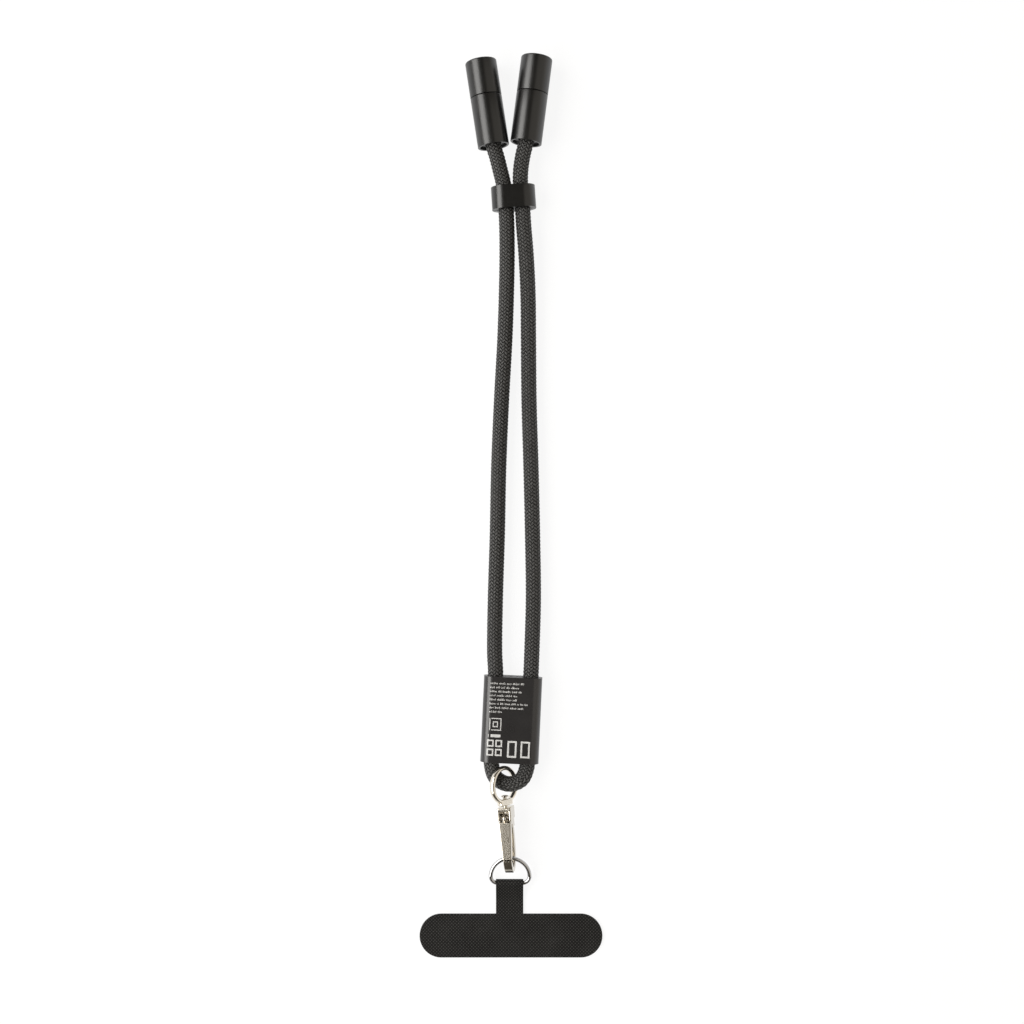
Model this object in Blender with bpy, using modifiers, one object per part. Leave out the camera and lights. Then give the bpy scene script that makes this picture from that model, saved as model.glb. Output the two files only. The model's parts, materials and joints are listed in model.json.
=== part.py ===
"""A short phone lanyard whose cord is a charging cable.

One braided cable is folded in half. A turned connector end with a pull-off cap closes
each end, a slider and a flat sleeve gather the two strands, and the loop below the
sleeve carries a swivel hook, a D-ring and a fabric tether tab.

The whole lanyard lies on the plane z = 0. The origin is the centre of the sleeve's
underside, +Y runs up the lanyard towards the connector ends, and +Z points up.
"""

import math

import bmesh
import bpy
from mathutils import Matrix, Vector

MM = 0.001
ROUND = 24                       # sides of a turned piece
SMALL_ROUND = 16                 # sides of a pin, post or hole
MERGE = 0.00001

# ---- cord ------------------------------------------------------------------
CORD_DIAMETER = 5.6 * MM
CORD_CLEARANCE = 0.3 * MM        # round the cord where a piece holds it
STRAND_SPACING = 12.6 * MM       # between the strands' centres in the sleeve

# ---- connector ends --------------------------------------------------------
PLUG_WIDTH = 8.34 * MM
PLUG_THICKNESS = 2.56 * MM
PLUG_SIDE_GAP = 0.63 * MM        # between the plug's edge and the housing's bore
HOUSING_WALL = 0.8 * MM
END_RADIUS = PLUG_WIDTH / 2 + PLUG_SIDE_GAP + HOUSING_WALL
HOUSING_LENGTH = 17.65 * MM
CAP_LENGTH = 12.85 * MM
CAP_SEAM = 0.1 * MM              # gap between housing and cap
HOUSING_FACE = 1.2 * MM          # thickness of the housing's front face
CAP_WALL = 0.65 * MM
CAP_TOP = 1.0 * MM
EDGE_ROUND = 0.35 * MM
INNER_GAP = 0.3 * MM             # between a housing and what is inside it
THIN_GAP = 0.15 * MM             # between small pieces that slide together
END_SPACE = 0.4 * MM             # between the two housings' mouths
END_MIDDLE = -0.56 * MM          # where that space lies across the lanyard
END_LIFT = 0.05 * MM             # of the turned ends off the ground
END_SIDE = {"left": -1, "right": 1}
END_MOUTH = {"left": 204.15 * MM, "right": 205.36 * MM}
END_TILT = {"left": math.radians(8.7), "right": math.radians(-7.4)}

GROMMET_RECESS = 0.9 * MM
GROMMET_LENGTH = 3.7 * MM
FERRULE_LENGTH = 3.8 * MM
FERRULE_WALL = 0.5 * MM
CORE_LENGTH = 4.1 * MM
CARD_WIDTH = 6.6 * MM
CARD_THICKNESS = 0.8 * MM
CARD_LENGTH = 6.0 * MM
PLUG_WALL = 0.3 * MM
PLUG_REACH = 6.65 * MM           # how far the plug stands out of the housing
PLUG_ROOT = 3.6 * MM             # how far it reaches into the housing
CONTACT_SLOT_WIDTH = 6.7 * MM
CONTACT_SLOT_THICKNESS = 0.8 * MM
CONTACT_SLOT_DEPTH = 5.8 * MM
LINER_LENGTH = 8.0 * MM
LINER_POCKET_GAP = 0.2 * MM

# ---- slider and sleeve -----------------------------------------------------
SLIDER_STRANDS = 5.95 * MM       # between the strands' centres in the slider
SLIDER_SIDE_GAP = 0.575 * MM     # between a strand and the slider's side
SLIDER_FLAT_GAP = 0.5 * MM       # between a strand and the slider's flat wall
SLIDER_WALL = 1.4 * MM
SLIDER_WIDTH = SLIDER_STRANDS + CORD_DIAMETER + 2 * (SLIDER_SIDE_GAP + SLIDER_WALL)
SLIDER_THICKNESS = CORD_DIAMETER + 2 * (SLIDER_FLAT_GAP + SLIDER_WALL)
SLIDER_LENGTH = 7.6 * MM
SLIDER_PLACE = Vector((0.80 * MM, 186.0 * MM, SLIDER_THICKNESS / 2))
SLIDER_TILT = math.radians(5.5)

SLEEVE_WALL = 1.0 * MM
SLEEVE_FLAT_GAP = 0.1 * MM       # between a strand and the sleeve's flat wall
SLEEVE_WIDTH = STRAND_SPACING + CORD_DIAMETER + 2 * (CORD_CLEARANCE + SLEEVE_WALL)
SLEEVE_THICKNESS = CORD_DIAMETER + 2 * (SLEEVE_FLAT_GAP + SLEEVE_WALL)
SLEEVE_LENGTH = 30.6 * MM
SLEEVE_CORNER = 3.3 * MM
SLEEVE_TILT = math.radians(-2.6)
SPACER_LENGTH = 26.0 * MM
SPACER_EDGE = 0.8 * MM

# ---- swivel ring -----------------------------------------------------------
HOOK_TILT = math.radians(3.9)
HOOK_ROLL = math.radians(-12.0)
RING_ROLL = math.radians(45.0)
RING_WIDTH = 13.0 * MM
RING_RISE = 7.2 * MM             # from the swivel's centre to the ring's top
RING_WIRE = 1.7 * MM
RING_LIFT = 0.55 * MM            # of the rolled ring off the ground
COLLAR_WIDTH = 5.9 * MM
COLLAR_DEPTH = 3.4 * MM
COLLAR_THICKNESS = 2.4 * MM
COLLAR_TOP = 4.7 * MM            # below the swivel's centre
POST_DIAMETER = 1.6 * MM
POST_HEAD_DIAMETER = 2.7 * MM
POST_HEAD_HEIGHT = 0.7 * MM
POST_CLEARANCE = 0.2 * MM
SWIVEL_GAP = 0.3 * MM            # above and below the collar
SWIVEL_HEIGHT = (
    math.sin(RING_ROLL) * (RING_WIDTH - RING_WIRE) / 2 + RING_WIRE / 2 + RING_LIFT
)
SWIVEL_PLACE = Vector((-2.60 * MM, -23.60 * MM, SWIVEL_HEIGHT))

# ---- hook ------------------------------------------------------------------
HOOK_LENGTH = 23.5 * MM          # from the head's top to the bowl's outside
HOOK_HEAD_WIDTH = 5.1 * MM
HOOK_HEAD_FOOT_WIDTH = 4.2 * MM
HOOK_HEAD_DEPTH = 6.4 * MM
HOOK_HEAD_LENGTH = 7.5 * MM
HOOK_HEAD_CORNER = 1.3 * MM
HOOK_WIRE_THICKNESS = 2.0 * MM
HOOK_WIRE_WIDTH = 3.2 * MM
GATE_WIDTH = 2.2 * MM
GATE_SIDE_GAP = 0.25 * MM        # between the gate and each cheek of its slot
GATE_SLOT_TOP = 2.6 * MM         # below the head's top
GATE_SLOT_FLOOR = -1.6 * MM      # off the swivel's axis, towards the spine
GATE_THICKNESS = 1.5 * MM
GATE_EYE_DIAMETER = 2.7 * MM
GATE_PIN_DIAMETER = 1.1 * MM
PIN_CLEARANCE = 0.15 * MM
GATE_PIVOT_DROP = 5.3 * MM       # below the head's top
GATE_PIVOT_RISE = 1.5 * MM       # off the swivel's axis, towards the gate
GATE_TIP_DROP = 18.0 * MM
GATE_TIP_RISE = 3.45 * MM
NOSE_GAP = 0.4 * MM
GATE_PLATE_WIDTH = 4.0 * MM      # just below the head, where the gate is widest
GATE_TIP_WIDTH = 2.6 * MM
GATE_PLATE_DROP = 8.5 * MM       # below the head's top, where it is that wide
KNOB_DIAMETER = 2.2 * MM
KNOB_RISE = 1.6 * MM             # of the knob's centre off the pivot, outwards
KNOB_LIFT = 0.8 * MM             # and towards the head's top
SPRING_DIAMETER = 1.7 * MM
SPRING_WIRE = 0.3 * MM
SPRING_TURNS = 4

# ---- D-ring and tether -----------------------------------------------------
TAB_WIDTH = 9.85 * MM
D_SIDE = 2.75 * MM               # of the D-ring's outside beyond each edge of the tab
D_WIDTH = TAB_WIDTH + 2 * D_SIDE
D_WIRE = 1.45 * MM
D_HEIGHT = 9.56 * MM             # between the wire's centres, bow to bar
D_CORNER = 1.6 * MM
D_TILT = math.radians(12.0)
FACE_THICKNESS = 0.45 * MM
TAB_GAP = 0.28 * MM              # between the bar and the fabric round it
TAB_LIFT = 0.145 * MM            # of the folded tab off the ground
D_BAR_HEIGHT = D_WIRE / 2 + TAB_GAP + FACE_THICKNESS + TAB_LIFT
D_BAR_PLACE = Vector((-0.41 * MM, -59.15 * MM, D_BAR_HEIGHT))
BACKING_THICKNESS = 0.38 * MM
LAYER_GAP = 0.12 * MM
PAD_WIDTH = 65.7 * MM
PAD_HEIGHT = 15.6 * MM
PAD_PLACE = Vector((-0.10, -78.30, 0.0)) * MM
TAB_CENTRE = -0.63 * MM
TAB_OVERLAP = 1.5 * MM           # how far the tab runs into the face's pad

# The cord's route, from inside the left housing round the loop to inside the right
# one: x, y, z in millimetres. The loop's z is off the sleeve's middle. The points in a
# housing or in the sleeve come from that piece, so cord_route() fills them in.
LEFT_STRAND = [
    (-5.15, 200.5, 5.25),
    (-4.00, 196.0, 4.95),
    (-2.95, 191.7, 4.75),
    (-2.15, 186.0, 4.70),
    (-1.62, 176.5, 4.60),
    (-1.50, 165.5, 4.35),
    (-1.75, 152.0, 3.35),
    (-2.30, 136.0, 2.85),
    (-3.50, 114.0, 2.81),
    (-4.50, 90.0, 2.81),
    (-5.00, 66.0, 2.81),
    (-5.70, 43.0, 2.85),
    (-5.95, 24.0, 3.50),
]
LOOP = [
    (-7.05, -16.40, 0.00),
    (-5.45, -20.90, 0.15),
    (-1.05, -22.95, 1.10),
    (3.55, -21.35, 1.25),
    (5.60, -16.95, 0.15),
]
RIGHT_STRAND = [
    (7.35, 24.0, 3.50),
    (7.90, 43.0, 2.85),
    (7.60, 66.0, 2.81),
    (7.05, 90.0, 2.81),
    (6.35, 114.0, 2.81),
    (6.15, 136.0, 2.85),
    (5.98, 152.0, 3.35),
    (5.30, 165.5, 4.35),
    (4.40, 176.5, 4.60),
    (3.80, 186.0, 4.70),
    (3.25, 191.7, 4.75),
    (3.42, 196.5, 4.95),
    (4.20, 201.4, 5.30),
]
STRAIGHT_STEP = 13.0 * MM        # between the cord's spline points
BEND_STEP = 2.6 * MM

MATERIALS = {
    "black_anodised": ((0.045, 0.045, 0.046), 0.32, 0.9),
    "braid": ((0.020, 0.020, 0.021), 0.75, 0.0),
    "black_plastic": ((0.018, 0.018, 0.018), 0.45, 0.0),
    "nickel": ((0.62, 0.58, 0.54), 0.18, 1.0),
    "steel": ((0.60, 0.60, 0.61), 0.28, 1.0),
    "circuit_board": ((0.03, 0.16, 0.07), 0.5, 0.0),
    "copper_alloy": ((0.72, 0.50, 0.25), 0.35, 1.0),
    "tether_fabric": ((0.016, 0.016, 0.017), 0.85, 0.0),
}


# ---- scene helpers ---------------------------------------------------------
def clear_scene():
    for item in list(bpy.data.objects):
        bpy.data.objects.remove(item, do_unlink=True)


def new_collection(name):
    collection = bpy.data.collections.new(name)
    bpy.context.scene.collection.children.link(collection)
    return collection


def make_materials():
    made = {}
    for name, (colour, roughness, metallic) in MATERIALS.items():
        material = bpy.data.materials.new(name)
        material.use_nodes = True
        shader = material.node_tree.nodes["Principled BSDF"]
        shader.inputs["Base Color"].default_value = (*colour, 1.0)
        shader.inputs["Roughness"].default_value = roughness
        shader.inputs["Metallic"].default_value = metallic
        made[name] = material
    return made


def empty(name, place, rotation=(0.0, 0.0, 0.0)):
    item = bpy.data.objects.new(name, None)
    item.empty_display_size = 3.0 * MM
    item.location = place
    item.rotation_euler = rotation
    PARTS.objects.link(item)
    return item


def strand_empty(name, place, tilt):
    """An empty whose local Z runs up the lanyard, turned by tilt in the ground plane."""
    return empty(name, place, (math.radians(-90.0), 0.0, tilt))


def to_world(item, point):
    """Where a point of an unparented empty's own frame lies in the world."""
    turn = item.rotation_euler.to_matrix()
    return turn @ Vector(point) + item.location


def add_object(name, data, parent, material):
    item = bpy.data.objects.new(name, data)
    item.parent = parent
    if material is None:
        CUTTERS.objects.link(item)
        item.hide_render = True
        item.display_type = "WIRE"
    else:
        data.materials.append(LOOKS[material])
        PARTS.objects.link(item)
    return item


def from_bmesh(name, bm, parent, material):
    """A mesh object from a bmesh. With no material it is a cutter."""
    mesh = bpy.data.meshes.new(name)
    bm.to_mesh(mesh)
    bm.free()
    item = add_object(name, mesh, parent, material)
    mesh.shade_smooth()
    mesh.set_sharp_from_angle(angle=math.radians(35.0))
    return item


def solidify(item, wall, offset=-1.0):
    modifier = item.modifiers.new("wall", "SOLIDIFY")
    modifier.thickness = wall
    modifier.offset = offset
    modifier.use_even_offset = True


def boolean(item, other, operation):
    modifier = item.modifiers.new(other.name, "BOOLEAN")
    modifier.object = other
    modifier.operation = operation
    modifier.solver = "EXACT"


def curve_data(name, points, diameter, closed=False, sides=2):
    data = bpy.data.curves.new(name, "CURVE")
    data.dimensions = "3D"
    data.bevel_depth = diameter / 2
    data.bevel_resolution = sides
    data.use_fill_caps = not closed
    spline = data.splines.new("POLY")
    spline.points.add(len(points) - 1)
    for number, point in enumerate(points):
        spline.points[number].co = (*point, 1.0)
    spline.use_cyclic_u = closed
    return data


def mesh_from_curve(item):
    """The curve object as a mesh object with its caps welded, in the curve's place."""
    bpy.context.view_layer.update()
    depsgraph = bpy.context.evaluated_depsgraph_get()
    mesh = bpy.data.meshes.new_from_object(item.evaluated_get(depsgraph))
    bm = bmesh.new()
    bm.from_mesh(mesh)
    bmesh.ops.remove_doubles(bm, verts=bm.verts, dist=MERGE)
    bm.to_mesh(mesh)
    bm.free()
    name = item.name
    made = bpy.data.objects.new(name + "_mesh", mesh)
    for collection in item.users_collection:
        collection.objects.link(made)
    made.parent = item.parent
    made.matrix_world = item.matrix_world
    made.hide_render = item.hide_render
    made.display_type = item.display_type
    bpy.data.objects.remove(item, do_unlink=True)
    made.name = name
    return made


def smooth_points(points, per_span):
    """Points on a centripetal Catmull-Rom curve through the given ones."""
    points = [Vector(p) for p in points]
    before = points[0] * 2 - points[1]
    after = points[-1] * 2 - points[-2]
    padded = [before, *points, after]
    found = []
    for i in range(len(points) - 1):
        p = padded[i:i + 4]
        knots = [0.0]
        for a, b in zip(p, p[1:]):
            knots.append(knots[-1] + math.sqrt((b - a).length))
        count = per_span(i, (p[2] - p[1]).length)
        for step in range(count):
            t = knots[1] + (knots[2] - knots[1]) * step / count
            found.append(catmull_rom(p, knots, t))
    found.append(points[-1])
    return found


def catmull_rom(p, knots, t):
    level = list(p)
    for width in (1, 2, 3):
        level = [
            blend_points(level[i], level[i + 1], *knot_pair(knots, i, width), t)
            for i in range(len(level) - 1)
        ]
    return level[0]


def knot_pair(knots, i, width):
    """The knots between which two points of one level of the curve are blended."""
    if width == 1:
        return knots[i], knots[i + 1]
    if width == 2:
        return knots[i], knots[i + 2]
    return knots[1], knots[2]


def blend_points(a, b, start, end, t):
    share = (t - start) / (end - start)
    return a * (1 - share) + b * share


# ---- shape helpers ---------------------------------------------------------
def turned(name, profile, parent, material, sides=ROUND):
    """A profile of (radius, height) turned about local Z. It runs down its outer side."""
    bm = bmesh.new()
    verts = [bm.verts.new((r, 0.0, z)) for r, z in profile]
    for a, b in zip(verts, verts[1:]):
        bm.edges.new((a, b))
    if profile[0][0] > 0:
        bm.edges.new((verts[-1], verts[0]))
    item = from_bmesh(name, bm, parent, material)
    screw = item.modifiers.new("turn", "SCREW")
    screw.axis = "Z"
    screw.steps = sides
    screw.render_steps = sides
    screw.use_merge_vertices = True
    screw.merge_threshold = MERGE
    return item


def ring_profile(inner, outer, low, high):
    """A tube's profile: down the outside, back up the inside."""
    return [(outer, high), (outer, low), (inner, low), (inner, high)]


def rounded_bar(width, thickness, low, high, corner, segments=4):
    """A bmesh bar along Z whose four long edges are rounded."""
    bm = bmesh.new()
    bmesh.ops.create_cube(bm, size=1.0)
    size = Matrix.Diagonal((width, thickness, high - low, 1.0))
    move = Matrix.Translation((0.0, 0.0, (low + high) / 2))
    bmesh.ops.transform(bm, matrix=move @ size, verts=bm.verts)
    long_edges = [
        e for e in bm.edges
        if abs(e.verts[0].co.z - e.verts[1].co.z) > (high - low) * 0.5
    ]
    bmesh.ops.bevel(
        bm, geom=long_edges, offset=corner, segments=segments,
        profile=0.5, affect="EDGES", material=-1,
    )
    return bm


def open_ends(bm):
    """Takes the two end faces off a bar along Z, which leaves an open sleeve."""
    ends = [f for f in bm.faces if abs(f.normal.z) > 0.99]
    bmesh.ops.delete(bm, geom=ends, context="FACES")


def full_round(thickness):
    """The corner radius that makes a bar's narrow sides fully round."""
    return thickness * 0.49


def sleeve_shape(name, size, corner, wall, low, parent, material, segments):
    """A flat tube along Z with walls inside its outer size (width, thickness, length)."""
    width, thickness, length = size
    bm = rounded_bar(width, thickness, low, low + length, corner, segments)
    open_ends(bm)
    item = from_bmesh(name, bm, parent, material)
    solidify(item, wall)
    return item


# ---- cord ------------------------------------------------------------------
def strand_in_sleeve(frame, side, height):
    x = side * STRAND_SPACING / 2
    return to_world(frame, (x, 0.0, height))


def cord_route(left_end, right_end, sleeve):
    """The cord's own points with those that its housings and sleeve settle."""
    cord_end = GROMMET_RECESS + GROMMET_LENGTH + INNER_GAP + FERRULE_LENGTH
    half = SLEEVE_LENGTH / 2
    route = [to_world(left_end, (0.0, 0.0, cord_end))]
    route.append(to_world(left_end, (0.0, 0.0, 0.2 * MM)))
    route += [Vector(p) * MM for p in LEFT_STRAND]
    route.append(strand_in_sleeve(sleeve, -1, half))
    route.append(strand_in_sleeve(sleeve, -1, -half * 0.8))
    middle = Vector((0.0, 0.0, SLEEVE_THICKNESS / 2))
    route += [Vector(p) * MM + middle for p in LOOP]
    route.append(strand_in_sleeve(sleeve, 1, -half * 0.8))
    route.append(strand_in_sleeve(sleeve, 1, half))
    route += [Vector(p) * MM for p in RIGHT_STRAND]
    route.append(to_world(right_end, (0.0, 0.0, 0.2 * MM)))
    route.append(to_world(right_end, (0.0, 0.0, cord_end)))
    return route


def make_cord(left_end, right_end, sleeve):
    route = cord_route(left_end, right_end, sleeve)
    first_bend = 2 + len(LEFT_STRAND) + 1
    last_bend = first_bend + len(LOOP)

    def per_span(i, length):
        step = BEND_STEP if first_bend <= i <= last_bend else STRAIGHT_STEP
        return max(1, round(length / step))

    points = smooth_points(route, per_span)
    data = curve_data("cord", points, CORD_DIAMETER)
    add_object("cord", data, None, "braid")


# ---- connector ends --------------------------------------------------------
def make_housing(side, frame):
    radius = END_RADIUS
    bore = radius - HOUSING_WALL
    top = HOUSING_LENGTH
    edge = EDGE_ROUND
    profile = [
        (0.0, top), (radius - edge, top), (radius, top - edge), (radius, edge),
        (radius - edge, 0.0), (bore, 0.0), (bore, top - HOUSING_FACE),
        (0.0, top - HOUSING_FACE),
    ]
    housing = turned(side + "_housing", profile, frame, "black_anodised")
    hole = PLUG_THICKNESS + INNER_GAP
    bm = rounded_bar(
        PLUG_WIDTH + INNER_GAP, hole, top - HOUSING_FACE * 2, top + HOUSING_FACE,
        full_round(hole),
    )
    cutter = from_bmesh(side + "_plug_hole", bm, frame, None)
    boolean(housing, cutter, "DIFFERENCE")


def make_cord_anchor(side, frame):
    """The grommet at the housing's mouth and the crimped ferrule behind it."""
    inner = CORD_DIAMETER / 2 + CORD_CLEARANCE
    bore = END_RADIUS - HOUSING_WALL
    low = GROMMET_RECESS
    high = low + GROMMET_LENGTH
    profile = ring_profile(inner, bore - INNER_GAP, low, high)
    turned(side + "_entry_grommet", profile, frame, "black_plastic")
    low = high + INNER_GAP
    profile = ring_profile(inner, inner + FERRULE_WALL, low, low + FERRULE_LENGTH)
    turned(side + "_crimp_ferrule", profile, frame, "copper_alloy")
    return low + FERRULE_LENGTH


def make_plug(side, frame, anchor_top):
    """Core, card, shell and contact block, from the cord's end to the plug's mouth."""
    bore = END_RADIUS - HOUSING_WALL
    low = anchor_top + INNER_GAP
    core = turned(
        side + "_plug_core",
        [(0.0, low + CORE_LENGTH), (bore - INNER_GAP, low + CORE_LENGTH),
         (bore - INNER_GAP, low), (0.0, low)],
        frame, "black_plastic",
    )
    slot = rounded_bar(
        CARD_WIDTH + INNER_GAP, CARD_THICKNESS + INNER_GAP, low - CORE_LENGTH,
        low + CORE_LENGTH * 2, INNER_GAP * 0.4, 1,
    )
    boolean(core, from_bmesh(side + "_card_slot", slot, frame, None), "DIFFERENCE")

    card = rounded_bar(
        CARD_WIDTH, CARD_THICKNESS, low, low + CARD_LENGTH, THIN_GAP * 0.5, 1,
    )
    from_bmesh(side + "_circuit_card", card, frame, "circuit_board")

    root = HOUSING_LENGTH - PLUG_ROOT
    length = PLUG_ROOT + PLUG_REACH
    sleeve_shape(
        side + "_plug_shell", (PLUG_WIDTH, PLUG_THICKNESS, length),
        full_round(PLUG_THICKNESS), PLUG_WALL, root, frame, "steel", 4,
    )
    inner_width = PLUG_WIDTH - 2 * (PLUG_WALL + THIN_GAP)
    inner_thickness = PLUG_THICKNESS - 2 * (PLUG_WALL + THIN_GAP)
    block_low = low + CARD_LENGTH + INNER_GAP
    block_high = HOUSING_LENGTH + PLUG_REACH - THIN_GAP
    bm = rounded_bar(
        inner_width, inner_thickness, block_low, block_high, full_round(inner_thickness), 3,
    )
    block = from_bmesh(side + "_contact_block", bm, frame, "black_plastic")
    bm = rounded_bar(
        CONTACT_SLOT_WIDTH, CONTACT_SLOT_THICKNESS, block_high - CONTACT_SLOT_DEPTH,
        block_high + PLUG_WALL, CONTACT_SLOT_THICKNESS * 0.3, 1,
    )
    boolean(block, from_bmesh(side + "_contact_slot", bm, frame, None), "DIFFERENCE")


def make_cap(side, frame):
    """The pull-off cap and the moulded liner that grips the plug."""
    low = HOUSING_LENGTH + CAP_SEAM
    high = low + CAP_LENGTH
    radius = END_RADIUS
    bore = radius - CAP_WALL
    edge = EDGE_ROUND
    profile = [
        (0.0, high), (radius - 2 * edge, high), (radius - edge * 0.6, high - edge * 0.6),
        (radius, high - 2 * edge), (radius, low + edge * 0.5), (radius - edge * 0.5, low),
        (bore, low), (bore, high - CAP_TOP), (0.0, high - CAP_TOP),
    ]
    turned(side + "_cap", profile, frame, "black_anodised")

    liner_low = low + INNER_GAP
    liner_high = liner_low + LINER_LENGTH
    liner_radius = bore - THIN_GAP
    liner = turned(
        side + "_cap_liner",
        [(0.0, liner_high), (liner_radius, liner_high), (liner_radius, liner_low),
         (0.0, liner_low)],
        frame, "black_plastic",
    )
    pocket = PLUG_THICKNESS + 2 * LINER_POCKET_GAP
    bm = rounded_bar(
        PLUG_WIDTH + 2 * LINER_POCKET_GAP, pocket, liner_low - INNER_GAP,
        HOUSING_LENGTH + PLUG_REACH + INNER_GAP, full_round(pocket),
    )
    boolean(liner, from_bmesh(side + "_cap_pocket", bm, frame, None), "DIFFERENCE")


def make_connector_end(side):
    tilt = END_TILT[side]
    aside = END_SPACE / 2 + END_RADIUS * math.cos(tilt)
    place = (END_MIDDLE + END_SIDE[side] * aside, END_MOUTH[side], END_RADIUS + END_LIFT)
    frame = strand_empty(side + "_end", place, tilt)
    make_housing(side, frame)
    anchor_top = make_cord_anchor(side, frame)
    make_plug(side, frame, anchor_top)
    make_cap(side, frame)
    return frame


# ---- slider and sleeve -----------------------------------------------------
def make_slider():
    frame = strand_empty("slider_frame", SLIDER_PLACE, SLIDER_TILT)
    sleeve_shape(
        "slider", (SLIDER_WIDTH, SLIDER_THICKNESS, SLIDER_LENGTH),
        full_round(SLIDER_THICKNESS), SLIDER_WALL, -SLIDER_LENGTH / 2, frame,
        "black_anodised", 8,
    )


def make_sleeve():
    place = Vector((0.0, 0.0, SLEEVE_THICKNESS / 2))
    frame = strand_empty("sleeve_frame", place, SLEEVE_TILT)
    sleeve_shape(
        "sleeve", (SLEEVE_WIDTH, SLEEVE_THICKNESS, SLEEVE_LENGTH),
        SLEEVE_CORNER, SLEEVE_WALL, -SLEEVE_LENGTH / 2, frame, "black_anodised", 5,
    )
    width = STRAND_SPACING - CORD_DIAMETER - 2 * CORD_CLEARANCE
    thickness = SLEEVE_THICKNESS - 2 * (SLEEVE_WALL + CORD_CLEARANCE)
    half = SPACER_LENGTH / 2
    bm = rounded_bar(width, thickness, -half, half, SPACER_EDGE, 2)
    from_bmesh("sleeve_spacer", bm, frame, "black_plastic")
    return frame


# ---- swivel ring and post --------------------------------------------------
def make_swivel_ring():
    """A wire oval closed by a flat collar, in the frame's XY plane, with +Y up."""
    frame = empty("ring_frame", SWIVEL_PLACE, (0.0, RING_ROLL, HOOK_TILT))
    across = (RING_WIDTH - RING_WIRE) / 2
    up = RING_RISE - RING_WIRE / 2
    down = COLLAR_TOP + COLLAR_THICKNESS / 2
    points = []
    for step in range(28):
        angle = 2 * math.pi * step / 28
        height = up if math.sin(angle) > 0 else down
        points.append((across * math.cos(angle), height * math.sin(angle), 0.0))
    data = curve_data("swivel_ring", points, RING_WIRE, closed=True)
    ring = mesh_from_curve(add_object("swivel_ring", data, frame, "nickel"))

    bm = rounded_bar(
        COLLAR_WIDTH, COLLAR_DEPTH, -COLLAR_THICKNESS / 2, COLLAR_THICKNESS / 2,
        COLLAR_DEPTH * 0.42,
    )
    turn = Matrix.Rotation(math.radians(90.0), 4, "X")
    move = Matrix.Translation((0.0, -down, 0.0))
    bmesh.ops.transform(bm, matrix=move @ turn, verts=bm.verts)
    boolean(ring, from_bmesh("collar", bm, frame, None), "UNION")
    hole = pin_bmesh(POST_DIAMETER / 2 + POST_CLEARANCE, COLLAR_THICKNESS * 2, "Y")
    bmesh.ops.transform(hole, matrix=move, verts=hole.verts)
    boolean(ring, from_bmesh("post_hole", hole, frame, None), "DIFFERENCE")


def pin_bmesh(radius, length, axis):
    """A round bar along one axis, centred on the origin."""
    bm = bmesh.new()
    bmesh.ops.create_cone(
        bm, cap_ends=True, segments=SMALL_ROUND, radius1=radius, radius2=radius,
        depth=length,
    )
    turns = {"X": ("Y", 90.0), "Y": ("X", 90.0), "Z": ("Z", 0.0)}
    about, angle = turns[axis]
    turn = Matrix.Rotation(math.radians(angle), 4, about)
    bmesh.ops.transform(bm, matrix=turn, verts=bm.verts)
    return bm


def head_top():
    """How far the hook head's top lies below the swivel's centre."""
    return COLLAR_TOP + COLLAR_THICKNESS + SWIVEL_GAP


def make_swivel_post(frame):
    head_low = -(COLLAR_TOP - SWIVEL_GAP)
    head_high = head_low + POST_HEAD_HEIGHT
    foot = -(head_top() + GATE_SLOT_TOP - SWIVEL_GAP)
    radius = POST_DIAMETER / 2
    wide = POST_HEAD_DIAMETER / 2
    profile = [
        (0.0, head_high), (wide * 0.6, head_high - POST_HEAD_HEIGHT * 0.1),
        (wide, head_high - POST_HEAD_HEIGHT * 0.5), (wide, head_low), (radius, head_low),
        (radius, foot), (0.0, foot),
    ]
    upright = empty("post_frame", (0.0, 0.0, 0.0), (math.radians(-90.0), 0.0, 0.0))
    upright.parent = frame
    turned("swivel_post", profile, upright, "nickel", SMALL_ROUND)


# ---- hook ------------------------------------------------------------------
def hook_point(drop, rise):
    """A point in the hook's side view: below the head's top, and towards the gate."""
    return (0.0, -(head_top() + drop), rise)


def make_hook_head(frame):
    bm = rounded_bar(
        HOOK_HEAD_WIDTH, HOOK_HEAD_DEPTH, -(head_top() + HOOK_HEAD_LENGTH), -head_top(),
        HOOK_HEAD_CORNER, 3,
    )
    taper = HOOK_HEAD_FOOT_WIDTH / HOOK_HEAD_WIDTH
    for vert in bm.verts:
        if vert.co.z < -(head_top() + HOOK_HEAD_LENGTH / 2):
            vert.co.x *= taper
    turn = Matrix.Rotation(math.radians(-90.0), 4, "X")
    bmesh.ops.transform(bm, matrix=turn, verts=bm.verts)
    return from_bmesh("hook_head", bm, frame, None)


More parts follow.
